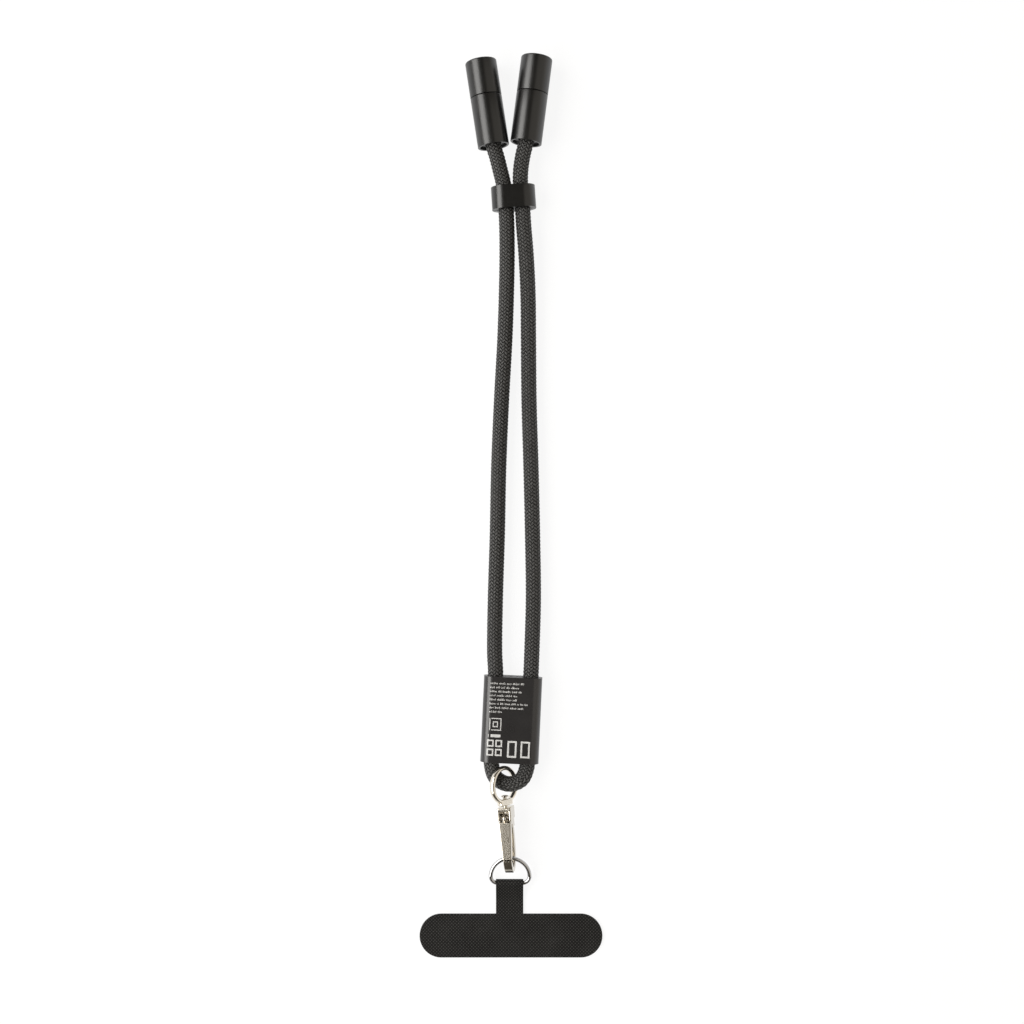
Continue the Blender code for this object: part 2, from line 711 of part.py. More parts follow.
def make_hook_body(frame):
    """The spine, bowl and nose as one bent bar, joined to the slotted head."""
    back = -HOOK_HEAD_DEPTH / 2 - HOOK_WIRE_THICKNESS * 0.45
    bowl = HOOK_LENGTH - HOOK_WIRE_THICKNESS / 2
    route = [
        (3.0 * MM, -1.9 * MM),
        (6.5 * MM, back * 0.76),
        (9.5 * MM, back * 0.96),
        (14.0 * MM, back),
        (bowl - 4.2 * MM, back * 0.97),
        (bowl - 1.5 * MM, back * 0.72),
        (bowl, back * 0.22),
        (bowl, GATE_TIP_RISE * 0.35),
        (bowl - 1.4 * MM, GATE_TIP_RISE * 0.82),
        (GATE_TIP_DROP + NOSE_GAP, GATE_TIP_RISE),
    ]
    points = smooth_points([hook_point(*p) for p in route], lambda i, length: 2)
    widen = HOOK_WIRE_WIDTH / HOOK_WIRE_THICKNESS
    data = curve_data("hook_body", points, HOOK_WIRE_THICKNESS)
    body = mesh_from_curve(add_object("hook_body", data, frame, "nickel"))
    body.data.transform(Matrix.Diagonal((widen, 1.0, 1.0, 1.0)))
    boolean(body, make_hook_head(frame), "UNION")

    slot_length = HOOK_HEAD_LENGTH
    bm = bmesh.new()
    bmesh.ops.create_cube(bm, size=1.0)
    size = Matrix.Diagonal((GATE_WIDTH + 2 * GATE_SIDE_GAP, slot_length, HOOK_HEAD_DEPTH, 1.0))
    centre = hook_point(
        GATE_SLOT_TOP + slot_length / 2, GATE_SLOT_FLOOR + HOOK_HEAD_DEPTH / 2,
    )
    bmesh.ops.transform(bm, matrix=Matrix.Translation(centre) @ size, verts=bm.verts)
    boolean(body, from_bmesh("gate_slot", bm, frame, None), "DIFFERENCE")

    bm = pin_bmesh(POST_DIAMETER / 2 + POST_CLEARANCE, GATE_SLOT_TOP * 2, "Y")
    bmesh.ops.translate(bm, vec=hook_point(GATE_SLOT_TOP * 0.5, 0.0), verts=bm.verts)
    boolean(body, from_bmesh("post_socket", bm, frame, None), "DIFFERENCE")

    bm = pin_bmesh(GATE_PIN_DIAMETER / 2 + PIN_CLEARANCE, HOOK_HEAD_WIDTH * 1.5, "X")
    bmesh.ops.translate(bm, vec=gate_pivot(), verts=bm.verts)
    boolean(body, from_bmesh("pin_hole", bm, frame, None), "DIFFERENCE")


def gate_pivot():
    return hook_point(GATE_PIVOT_DROP, GATE_PIVOT_RISE)


def gate_width(drop):
    """Narrow inside the head, widest just below it, and tapered from there to the tip."""
    if drop < HOOK_HEAD_LENGTH + GATE_SIDE_GAP:
        return GATE_WIDTH
    share = max(0.0, drop - GATE_PLATE_DROP) / (GATE_TIP_DROP - GATE_PLATE_DROP)
    return GATE_PLATE_WIDTH + (GATE_TIP_WIDTH - GATE_PLATE_WIDTH) * min(1.0, share)


def make_gate(frame):
    """A bent plate from the pivot eye to the nose, with a thumb knob above the pivot."""
    route = [
        (GATE_PIVOT_DROP + 0.4 * MM, GATE_PIVOT_RISE + 0.2 * MM),
        (GATE_PIVOT_DROP + 2.2 * MM, GATE_TIP_RISE * 0.72),
        (GATE_PIVOT_DROP + 5.0 * MM, GATE_TIP_RISE * 0.93),
        (GATE_TIP_DROP - 4.0 * MM, GATE_TIP_RISE),
        (GATE_TIP_DROP, GATE_TIP_RISE),
    ]
    points = smooth_points([hook_point(*p) for p in route], lambda i, length: 2)
    data = curve_data("gate", points, GATE_THICKNESS)
    gate = mesh_from_curve(add_object("gate", data, frame, "nickel"))
    for vert in gate.data.vertices:
        vert.co.x *= gate_width(-vert.co.y - head_top()) / GATE_THICKNESS

    eye = pin_bmesh(GATE_EYE_DIAMETER / 2, GATE_WIDTH * 0.98, "X")
    bmesh.ops.translate(eye, vec=gate_pivot(), verts=eye.verts)
    boolean(gate, from_bmesh("gate_eye", eye, frame, None), "UNION")

    knob = bmesh.new()
    bmesh.ops.create_uvsphere(knob, u_segments=12, v_segments=8, radius=KNOB_DIAMETER / 2)
    flat = Matrix.Diagonal((0.9, 1.0, 0.75, 1.0))
    place = hook_point(GATE_PIVOT_DROP - KNOB_LIFT, GATE_PIVOT_RISE + KNOB_RISE)
    bmesh.ops.transform(knob, matrix=Matrix.Translation(place) @ flat, verts=knob.verts)
    boolean(gate, from_bmesh("thumb_knob", knob, frame, None), "UNION")

    hole = pin_bmesh(GATE_PIN_DIAMETER / 2 + PIN_CLEARANCE, GATE_WIDTH * 3, "X")
    bmesh.ops.translate(hole, vec=gate_pivot(), verts=hole.verts)
    boolean(gate, from_bmesh("gate_eye_hole", hole, frame, None), "DIFFERENCE")

    share = GATE_PIVOT_DROP / HOOK_HEAD_LENGTH
    width = HOOK_HEAD_WIDTH + (HOOK_HEAD_FOOT_WIDTH - HOOK_HEAD_WIDTH) * share
    pin = pin_bmesh(GATE_PIN_DIAMETER / 2, width, "X")
    bmesh.ops.translate(pin, vec=gate_pivot(), verts=pin.verts)
    from_bmesh("gate_pin", pin, frame, "steel")


def make_gate_spring(frame):
    """A small coil between the slot's floor and the gate."""
    drop = GATE_PIVOT_DROP + GATE_EYE_DIAMETER / 2 + SPRING_DIAMETER / 2 - 0.2 * MM
    low = GATE_SLOT_FLOOR + INNER_GAP + SPRING_WIRE / 2
    high = GATE_PIVOT_RISE - INNER_GAP * 2 - SPRING_WIRE / 2
    radius = (SPRING_DIAMETER - SPRING_WIRE) / 2
    count = SPRING_TURNS * 10
    points = []
    for step in range(count + 1):
        angle = 2 * math.pi * SPRING_TURNS * step / count
        x, y, z = hook_point(drop, low + (high - low) * step / count)
        points.append((x + radius * math.cos(angle), y + radius * math.sin(angle), z))
    data = curve_data("gate_spring", points, SPRING_WIRE, sides=1)
    add_object("gate_spring", data, frame, "steel")


def make_hook():
    frame = empty("hook_frame", SWIVEL_PLACE, (0.0, HOOK_ROLL, HOOK_TILT))
    make_swivel_post(frame)
    make_hook_body(frame)
    make_gate(frame)
    make_gate_spring(frame)


# ---- D-ring ----------------------------------------------------------------
def arc(centre, radius, start, end, count):
    """Points of an arc in the XY plane, in degrees, both ends included."""
    found = []
    for step in range(count + 1):
        angle = math.radians(start + (end - start) * step / count)
        x = centre[0] + radius * math.cos(angle)
        y = centre[1] + radius * math.sin(angle)
        found.append((x, y, 0.0))
    return found


def make_d_ring():
    """Bow at the frame's origin, where the hook's bowl meets it, and bar at -Y."""
    rise = Vector((0.0, math.cos(D_TILT), math.sin(D_TILT))) * D_HEIGHT
    frame = empty("d_ring_frame", D_BAR_PLACE + rise, (D_TILT, 0.0, 0.0))
    half = (D_WIDTH - D_WIRE) / 2
    points = arc((0.0, -half), half, 0.0, 180.0, 14)
    corner = (half - D_CORNER, -D_HEIGHT + D_CORNER)
    points += arc((-corner[0], corner[1]), D_CORNER, 180.0, 270.0, 4)
    points += arc(corner, D_CORNER, 270.0, 360.0, 4)
    data = curve_data("d_ring", points, D_WIRE, closed=True)
    add_object("d_ring", data, frame, "nickel")


# ---- tether ----------------------------------------------------------------
def ribbon(path, width, centre):
    """An open sheet of the given width that follows a path in the YZ plane."""
    bm = bmesh.new()
    verts = [bm.verts.new((centre - width / 2, y, z)) for y, z in path]
    edges = [bm.edges.new(pair) for pair in zip(verts, verts[1:])]
    made = bmesh.ops.extrude_edge_only(bm, edges=edges)["geom"]
    far = [item for item in made if isinstance(item, bmesh.types.BMVert)]
    bmesh.ops.translate(bm, vec=(width, 0.0, 0.0), verts=far)
    bmesh.ops.recalc_face_normals(bm, faces=bm.faces)
    return bm


def pad_plate(low, thickness):
    bm = rounded_bar(
        PAD_WIDTH, PAD_HEIGHT, low, low + thickness, full_round(PAD_HEIGHT), 8,
    )
    shift = PAD_PLACE - D_BAR_PLACE
    bmesh.ops.translate(bm, vec=(shift.x, shift.y, 0.0), verts=bm.verts)
    return bm


def make_tether():
    """Face fabric with its tab round the D-ring's bar, and the backing below the pad."""
    frame = empty("tether_frame", D_BAR_PLACE)
    ground = -D_BAR_PLACE.z
    pad_top = PAD_PLACE.y - D_BAR_PLACE.y + PAD_HEIGHT / 2
    loop = D_WIRE / 2 + TAB_GAP + FACE_THICKNESS / 2
    front = ground + BACKING_THICKNESS + LAYER_GAP + FACE_THICKNESS / 2
    back = ground + BACKING_THICKNESS / 2
    path = [(pad_top - TAB_OVERLAP, front), (pad_top * 0.75, front), (pad_top * 0.52, front)]
    for x, y, _ in arc((0.0, 0.0), loop, 112.0, -96.0, 12):
        path.append((x, y))
    path += [(pad_top * 0.4, back + 0.04 * MM), (pad_top + LAYER_GAP * 4, back + 0.02 * MM)]
    centre = TAB_CENTRE - D_BAR_PLACE.x
    sheet = ribbon(path, TAB_WIDTH, centre)
    face = from_bmesh("tether_face", sheet, frame, "tether_fabric")
    solidify(face, BACKING_THICKNESS - 0.04 * MM, 0.0)
    low = front - FACE_THICKNESS / 2
    plate = from_bmesh("pad_face", pad_plate(low, FACE_THICKNESS), frame, None)
    boolean(face, plate, "UNION")
    from_bmesh("tether_backing", pad_plate(ground, BACKING_THICKNESS), frame, "tether_fabric")


# ---- whole lanyard ---------------------------------------------------------
clear_scene()
PARTS = new_collection("phone_lanyard")
CUTTERS = new_collection("cutters")
LOOKS = make_materials()

left_frame = make_connector_end("left")
right_frame = make_connector_end("right")
sleeve_frame = make_sleeve()
make_cord(left_frame, right_frame, sleeve_frame)
make_slider()
make_swivel_ring()
make_hook()
make_d_ring()
make_tether()
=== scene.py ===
# %% [markdown]
# # A phone lanyard whose cord is a charging cable
#
# One braided cable is folded in half. A black metal connector end with a pull-off cap
# closes each end, a slider and a flat sleeve gather the two strands, and the loop below
# the sleeve carries a swivel hook, a D-ring and a fabric tether tab. The CAD model
# settles every size and place. This lesson gives its pieces their real surfaces.

# %% Load the fixed frame
import json
import math

import bmesh
import bpy
import numpy as np
from mathutils import Matrix, Vector
from mathutils.bvhtree import BVHTree


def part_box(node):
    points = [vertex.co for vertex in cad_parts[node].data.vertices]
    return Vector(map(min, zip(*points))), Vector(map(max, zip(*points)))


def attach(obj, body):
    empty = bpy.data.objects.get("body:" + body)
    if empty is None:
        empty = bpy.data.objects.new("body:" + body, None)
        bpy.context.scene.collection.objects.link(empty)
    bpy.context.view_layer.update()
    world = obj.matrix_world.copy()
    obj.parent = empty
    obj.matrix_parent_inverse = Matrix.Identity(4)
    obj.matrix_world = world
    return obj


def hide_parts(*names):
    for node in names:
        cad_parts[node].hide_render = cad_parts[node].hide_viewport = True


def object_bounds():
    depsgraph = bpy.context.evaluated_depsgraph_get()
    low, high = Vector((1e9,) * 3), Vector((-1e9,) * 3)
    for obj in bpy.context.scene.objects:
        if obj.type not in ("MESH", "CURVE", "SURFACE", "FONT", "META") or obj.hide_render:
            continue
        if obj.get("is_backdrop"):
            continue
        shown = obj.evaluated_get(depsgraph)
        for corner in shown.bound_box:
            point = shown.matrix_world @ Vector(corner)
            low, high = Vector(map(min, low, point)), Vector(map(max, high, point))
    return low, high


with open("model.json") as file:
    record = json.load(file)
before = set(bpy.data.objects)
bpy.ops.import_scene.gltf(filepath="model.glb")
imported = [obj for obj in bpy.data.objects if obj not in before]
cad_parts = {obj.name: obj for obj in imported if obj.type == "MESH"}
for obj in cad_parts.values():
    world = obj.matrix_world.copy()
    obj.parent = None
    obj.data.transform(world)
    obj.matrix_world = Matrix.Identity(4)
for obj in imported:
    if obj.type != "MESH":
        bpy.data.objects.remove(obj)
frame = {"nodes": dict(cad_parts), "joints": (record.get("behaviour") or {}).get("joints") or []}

MM = 0.001
cad_low, cad_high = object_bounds()
joints = {joint["name"]: joint for joint in frame["joints"]}


def in_millimetres(lengths, digits=1):
    return [round(length / MM, digits) for length in lengths]


def linked_object(name, data):
    """A new object with the given data, in the scene."""
    made = bpy.data.objects.new(name, data)
    bpy.context.scene.collection.objects.link(made)
    return made


def mesh_of(bm, name):
    """A bmesh as a mesh. The bmesh is freed."""
    mesh = bpy.data.meshes.new(name)
    bm.to_mesh(mesh)
    bm.free()
    return mesh


print("CAD box, mm:", in_millimetres(cad_high - cad_low))

# %% [markdown]
# ## The camera and the light
#
# The lanyard lies on a white table and the camera looks straight down on it, through a
# 50 mm lens on a 36 mm sensor. Black glossy pieces show the room and not their own
# colour: a turned black cylinder needs a bright softbox on one side, a weak one on the
# other and a dark ceiling between them, or it reads as a flat grey strip.

# %% Camera
LENS = 50.0
CAMERA_PLACE = Vector((0.25, 74.0, 512.0)) * MM
camera_data = bpy.data.cameras.new("camera")
camera_data.lens = LENS
camera_data.clip_start = 10 * MM
camera = linked_object("camera", camera_data)
camera.location = CAMERA_PLACE
bpy.context.scene.camera = camera
bpy.context.scene.view_settings.view_transform = "Standard"
print("the camera stands", round(CAMERA_PLACE.z, 3), "m over the table")

# %% Softboxes
TABLE_MIDDLE = Vector((0.0, CAMERA_PLACE.y, 0.0))
SOFTBOX_LENGTH = 1.6             # in metres, as the widths are
LEFT, RIGHT = -1, 1


def softbox(name, degrees_up, side, width, radiance, colour):
    """A soft light 1 m from the table that shows the given radiance in a mirror."""
    data = bpy.data.lights.new(name, "AREA")
    data.shape = "RECTANGLE"
    data.size = width
    data.size_y = SOFTBOX_LENGTH
    data.energy = radiance * math.pi * width * SOFTBOX_LENGTH
    data.color = colour
    light = linked_object(name, data)
    up = math.radians(degrees_up)
    away = Vector((side * math.cos(up), 0.0, math.sin(up)))
    across = Vector((-away.z, 0.0, away.x)) * side
    light.matrix_world = basis(TABLE_MIDDLE + away, across, away.cross(across), away)
    light.visible_camera = False
    print(name, "stands", degrees_up, "degrees up and is", width, "m wide")


def basis(place, x, y, z):
    """The matrix of a frame with its origin at place and the given axes."""
    turn = Matrix((x, y, z)).transposed()
    return Matrix.Translation(place) @ turn.to_4x4()


softbox("main_softbox", 42.0, LEFT, width=0.69, radiance=5.2, colour=(1.0, 0.985, 0.96))
softbox("softbox_upper_rim", 69.0, LEFT, width=0.30, radiance=0.14,
        colour=(1.0, 0.95, 0.86))
softbox("fill_softbox", 41.0, RIGHT, width=1.50, radiance=0.60, colour=(1.0, 0.94, 0.85))

# %% [markdown]
# Above the horizon the room is a pale wall low down and a dark, warm ceiling overhead.
# A gradient on the world's own direction makes that in one colour ramp. Its stops are
# heights on a sphere one unit in radius.

# %% World
WALL_TOP, WALL_COLOUR = 0.10, (0.64, 0.62, 0.59, 1.0)
CEILING_EDGE, CEILING_COLOUR = 0.32, (0.078, 0.069, 0.053, 1.0)
world = bpy.data.worlds.new("room")
world.use_nodes = True
bpy.context.scene.world = world
room = world.node_tree
direction = room.nodes.new("ShaderNodeTexCoord")
height = room.nodes.new("ShaderNodeSeparateXYZ")
ramp = room.nodes.new("ShaderNodeValToRGB")
wall, ceiling = ramp.color_ramp.elements
wall.position, wall.color = WALL_TOP, WALL_COLOUR
ceiling.position, ceiling.color = CEILING_EDGE, CEILING_COLOUR
room.links.new(direction.outputs["Generated"], height.inputs[0])
room.links.new(height.outputs["Z"], ramp.inputs[0])
room.links.new(ramp.outputs[0], room.nodes["Background"].inputs["Color"])
print("the wall ends", round(math.degrees(math.asin(WALL_TOP)), 1), "degrees up")

# %% [markdown]
# ## Shader maths as Python expressions
#
# A finish is a small formula: where a thread is high, it is painted lighter, a painted
# highlight. Written with node calls such a formula is hard to read, so a thin wrapper
# round a socket overloads the operators, and each operation adds its Math node.


# %% The socket wrapper
class Wire:
    """A number socket of a finish. Arithmetic on it adds Math nodes."""

    def __init__(self, finish, socket):
        self.finish = finish
        self.socket = socket

    def maths(self, operation, *values):
        sockets = dict(enumerate(values))
        return self.finish.node("Math", {"operation": operation}, sockets)

    def __add__(self, other):
        return self.maths("ADD", self, other)

    def __sub__(self, other):
        return self.maths("SUBTRACT", self, other)

    def __mul__(self, other):
        return self.maths("MULTIPLY", self, other)

    def __truediv__(self, other):
        return self.maths("DIVIDE", self, other)

    def __rsub__(self, other):
        return self.maths("SUBTRACT", other, self)

    __radd__ = __add__
    __rmul__ = __mul__

    def sine(self):
        return self.maths("SINE", self)

    def absolute(self):
        return self.maths("ABSOLUTE", self)

    def fraction(self):
        return self.maths("FRACT", self)

    def whole(self):
        return self.maths("FLOOR", self)

    def power(self, other):
        return self.maths("POWER", self, other)

    def clamped(self):
        return self.maths("MINIMUM", self.maths("MAXIMUM", self, 0.0), 1.0)


class Finish:
    """A material being made: one Principled shader and the nodes that feed it."""

    def __init__(self, name, **constants):
        self.material = bpy.data.materials.new(name)
        self.material.use_nodes = True
        self.tree = self.material.node_tree
        self.shader = self.tree.nodes["Principled BSDF"]
        for socket, value in constants.items():
            self.shader.inputs[socket.replace("_", " ")].default_value = value

    def link(self, value, socket):
        if isinstance(value, Wire):
            self.tree.links.new(value.socket, socket)
        else:
            socket.default_value = value

    def node(self, kind, settings=None, sockets=None, output=0):
        """A node of a kind, with its settings set first and then its sockets."""
        made = self.tree.nodes.new("ShaderNode" + kind)
        for name, value in (settings or {}).items():
            setattr(made, name, value)
        for key, value in (sockets or {}).items():
            self.link(value, made.inputs[key])
        return Wire(self, made.outputs[output])

    def feed(self, socket, value):
        self.link(value, self.shader.inputs[socket])

    def mix(self, share, low, high):
        """The colour between low and high at share."""
        sockets = {0: share, 6: low, 7: high}
        return self.node("Mix", {"data_type": "RGBA"}, sockets, output=2)

    def noise(self, vector, scale, detail=3.0):
        sockets = {"Vector": vector, "Scale": scale, "Detail": detail}
        return self.node("TexNoise", None, sockets)

    def bump(self, height, depth, strength=1.0):
        """Feeds the normal from a height of 0 to 1 that stands for depth in metres."""
        sockets = {"Strength": strength, "Distance": depth, "Height": height}
        self.feed("Normal", self.node("Bump", None, sockets))

    def place(self):
        """The place on the piece, in metres."""
        return self.node("TexCoord", None, None, output="Object")

    def stretched(self, vector, scale, turn=(0.0, 0.0, 0.0)):
        sockets = {"Vector": vector, "Rotation": turn, "Scale": scale}
        return self.node("Mapping", {"vector_type": "TEXTURE"}, sockets)

    def chart(self, name):
        """The two numbers of the piece's own map."""
        chart = self.node("UVMap", {"uv_map": name})
        first = self.node("SeparateXYZ", None, {0: chart}, output="X")
        second = self.node("SeparateXYZ", None, {0: chart}, output="Y")
        return first, second

    def point(self, x, y, z=0.0):
        return self.node("CombineXYZ", None, {0: x, 1: y, 2: z})


print("finishes are written as expressions")

# %% [markdown]
# ## The finishes
#
# The braid's yarns are flat bundles of matt black filaments, three plied ends to a
# carrier. Each yarn carries its own map: the distance along it, and the carrier's number
# plus the share of the width across it. So the plies and filaments follow the yarn round
# every bend, and the number gives each carrier a slightly different black.


# %% Braid yarn
def make_yarn_finish():
    finish = Finish("black_filament_yarn", Specular_IOR_Level=0.5)
    along, across = finish.chart("yarn")
    ply = (across.fraction() * (3 * math.pi)).sine().absolute()
    twist = across * 46.0 + along * 900.0
    filament = finish.noise(finish.point(along * 700.0, twist, across.whole()), 1.0)
    carrier = finish.noise(finish.point(across.whole() * 3.7, along * 60.0), 1.0, 1.0)
    crest = finish.node("Attribute", {"attribute_name": "crest"}, output="Fac")
    middle = 1 - (across.fraction() * 2.0 - 1.0).power(2.0)
    # Painted highlight and painted shade: the colour is lighter at the middle of each float and
    # of the yarn's width, and nearly black where the yarn dives. A random tone per carrier
    # multiplies it.
    painted_crest_light = crest.power(3.0) * middle * (0.45 + ply * 0.3 + filament * 0.4)
    shade = (painted_crest_light * (0.6 + carrier * 0.8)).clamped()
    finish.feed("Base Color", finish.mix(
        shade, (0.0026, 0.0026, 0.0027, 1.0), (0.100, 0.098, 0.095, 1.0)))
    finish.feed("Roughness", 0.56 - filament * 0.22)
    finish.bump(ply * 0.7 + filament * 0.5, 0.09 * MM, 0.8)
    return finish.material


yarn_finish = make_yarn_finish()
print("the yarn's finish has", len(yarn_finish.node_tree.nodes), "nodes")

# %% [markdown]
# Black anodised aluminium is a thin dyed oxide on a blasted surface: it is nearly black
# and satin, with a very fine grain. The turned ends also keep faint rings from the lathe,
# so their finish reads the place on the piece turned into the end's own direction.


# %% Anodised metal
TURNED_BLACK = ((0.0020, 0.0020, 0.0021), (0.0038, 0.0037, 0.0036))
BLASTED_BLACK = ((0.0150, 0.0142, 0.0150), (0.0208, 0.0197, 0.0204))


def make_anodised_finish(name, tones, tilt=0.0, rings=0.0):
    low, high = tones
    finish = Finish(name, IOR=1.62, Metallic=0.0)
    place = finish.place()
    grain = finish.noise(place, 9000.0, 2.0)
    cloud = finish.noise(place, 160.0, 4.0)
    lathe = finish.noise(
        finish.stretched(place, (1.0, 0.00006, 1.0), (0.0, 0.0, tilt)), 1.0, 2.0)
    finish.feed("Base Color", finish.mix(cloud, (*low, 1.0), (*high, 1.0)))
    finish.feed("Roughness", 0.24 + cloud * 0.10 + lathe * rings * 0.1)
    finish.bump(grain * 0.5 + lathe * rings, 0.004 * MM, 0.5)
    return finish.material


anodised_slider = make_anodised_finish("black_anodised_slider", TURNED_BLACK)
anodised_sleeve = make_anodised_finish("black_anodised_sleeve", BLASTED_BLACK)
print("anodised blacks for the slider and the sleeve are mixed")

# %% [markdown]
# The hook, ring and D-ring are cast or bent metal with a polished nickel plate. The
# plate is warm and bright, ripples a little where the casting was tumbled, and has
# hairline scuffs that only change how rough it is.


# %% Nickel and steel
def make_plate_finish(name, colour, roughness, ripple):
    finish = Finish(name, Metallic=1.0, Base_Color=(*colour, 1.0))
    place = finish.place()
    wave = finish.noise(place, 420.0, 2.0)
    scuff = finish.noise(finish.stretched(place, (0.0002, 0.004, 0.0002)), 1.0, 4.0)
    tarnish = finish.noise(place, 900.0, 2.0)
    darker = tuple(value * 0.93 for value in colour)
    finish.feed("Base Color", finish.mix(tarnish, (*darker, 1.0), (*colour, 1.0)))
    finish.feed("Roughness", roughness + (scuff - 0.5) * 0.05)
    finish.bump(wave, ripple, 0.6)
    return finish.material


nickel = make_plate_finish("polished_nickel", (0.68, 0.64, 0.57), 0.15, 0.015 * MM)
ring_nickel = make_plate_finish(
    "polished_ring_nickel", (0.88, 0.83, 0.74), 0.15, 0.02 * MM)
bright_nickel = make_plate_finish(
    "bright_wire_nickel", (0.55, 0.55, 0.56), 0.12, 0.02 * MM)
steel = make_plate_finish("drawn_steel", (0.60, 0.60, 0.61), 0.28, 0.01 * MM)
brass = make_plate_finish("crimped_brass", (0.72, 0.50, 0.25), 0.34, 0.02 * MM)
print("three nickel plates, plain steel and brass are mixed")

# %% [markdown]
# The tether is a fine woven tape. Its map gives the distance across and along the cloth
# in metres, also where it is folded, so one formula lays a plain weave on it: at every
# other crossing the warp is on top. The top of each crossing is painted lighter as a
# painted highlight, the warp's most, and the dips between are painted shade.

# %% Woven tether
WEAVE_PITCH = 0.60 * MM


def make_weave_finish():
    finish = Finish("black_woven_tape", Specular_IOR_Level=0.2)
    across, along = finish.chart("weave")
    u = across / WEAVE_PITCH
    v = along / WEAVE_PITCH
    odd = ((u.whole() + v.whole()) * 0.5).fraction() * 2.0
    warp = (u.fraction() * math.pi).sine()
    weft = (v.fraction() * math.pi).sine()
    warp_strands = finish.noise(finish.point(u * 7.0, v * 1.3), 1.0)
    weft_strands = finish.noise(finish.point(u * 1.3, v * 7.0), 1.0)
    strands = odd * warp_strands + (1 - odd) * weft_strands
    crown = warp * weft
    cloud = finish.noise(finish.point(u * 0.06, v * 0.06), 1.0)
    lift = odd * 0.85 + 0.12
    # Painted highlight on each crossing's crown, brightest where the warp is on top, and painted
    # shade in the dips, plus a random cloudy tone.
    shade = (crown * lift * (0.5 + strands * 0.6) + cloud * 0.24 - 0.12).clamped()
    finish.feed("Base Color", finish.mix(
        shade, (0.0020, 0.0019, 0.0020, 1.0), (0.068, 0.067, 0.063, 1.0)))
    finish.feed("Roughness", 0.72 - strands * 0.15)
    finish.bump(crown * 0.8 + strands * 0.3, 0.06 * MM, 0.7)
    return finish.material


weave_finish = make_weave_finish()
print("the weave's threads are", round(WEAVE_PITCH / MM, 2), "mm apart")

# %% [markdown]
# The rest are the small moulded and printed finishes: black plastic with a fine spark
# texture, the pale ink on the sleeve, the backing's soft foil, the dark core under the
# braid and the green card inside each end.


# %% Moulded, printed and hidden finishes
def make_grained_finish(name, low, high, roughness, scale, depth):
    finish = Finish(name, Metallic=0.0)
    place = finish.place()
    grain = finish.noise(place, scale, 3.0)
    cloud = finish.noise(place, scale * 0.04, 3.0)
    finish.feed("Base Color", finish.mix(cloud, (*low, 1.0), (*high, 1.0)))
    finish.feed("Roughness", roughness + (grain - 0.5) * 0.2)
    finish.bump(grain, depth, 0.6)
    return finish.material


def grey(value):
    return (value, value, value)


black_plastic = make_grained_finish(
    "black_moulded_plastic", grey(0.006), grey(0.012), 0.42, 7000.0, 0.01 * MM)
ink = make_grained_finish(
    "pale_ink", grey(0.52), (0.66, 0.66, 0.65), 0.5, 9000.0, 0.002 * MM)
backing_finish = make_grained_finish(
    "tether_backing_foil", grey(0.008), grey(0.014), 0.6, 5000.0, 0.02 * MM)
core_finish = make_grained_finish(
    "dark_cable_core", grey(0.003), grey(0.005), 0.8, 3000.0, 0.02 * MM)
solder_mask = make_grained_finish(
    "green_solder_mask", (0.02, 0.13, 0.05), (0.03, 0.19, 0.08), 0.35, 3000.0, 0.01 * MM)
print("the small finishes are mixed")

# %% [markdown]
# The table is a lit one: most of its white is its own light, and its paint is dark, so
# it stays evenly white and the pieces throw only a faint shadow on it.

# %% Table finish
TABLE_GLOW = 0.90
table_finish = make_grained_finish(
    "white_table", grey(0.11), grey(0.12), 0.7, 60.0, 0.01 * MM)
table_shader = table_finish.node_tree.nodes["Principled BSDF"]
table_shader.inputs["Emission Color"].default_value = (1.0, 1.0, 1.0, 1.0)
table_shader.inputs["Emission Strength"].default_value = TABLE_GLOW
table_shader.inputs["Specular IOR Level"].default_value = 0.0
print("the table's own light is", TABLE_GLOW)

# %% [markdown]
# ## The table
#
# One large plane, a little below the pieces' resting plane so that nothing shimmers
# where it touches.

# %% Table
TABLE_SIZE = 60.0
TABLE_GAP = 0.02 * MM
bm = bmesh.new()
bmesh.ops.create_grid(bm, x_segments=1, y_segments=1, size=TABLE_SIZE / 2)
bmesh.ops.translate(bm, vec=(0.0, 0.0, -TABLE_GAP), verts=bm.verts)
table = linked_object("table", mesh_of(bm, "table"))
table.data.materials.append(table_finish)
table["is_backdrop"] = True
print("the table is", TABLE_SIZE, "m square")

# %% [markdown]
# ## The cord
#
# The cable is one length, from inside the left connector end, down through the slider
# and the sleeve, round the loop and back up. It lies on the table, and rises to the
# middle of each piece that it passes through. Its route is a list of given points,
# the same ones that the CAD model's plain tube follows, joined by one smooth curve.

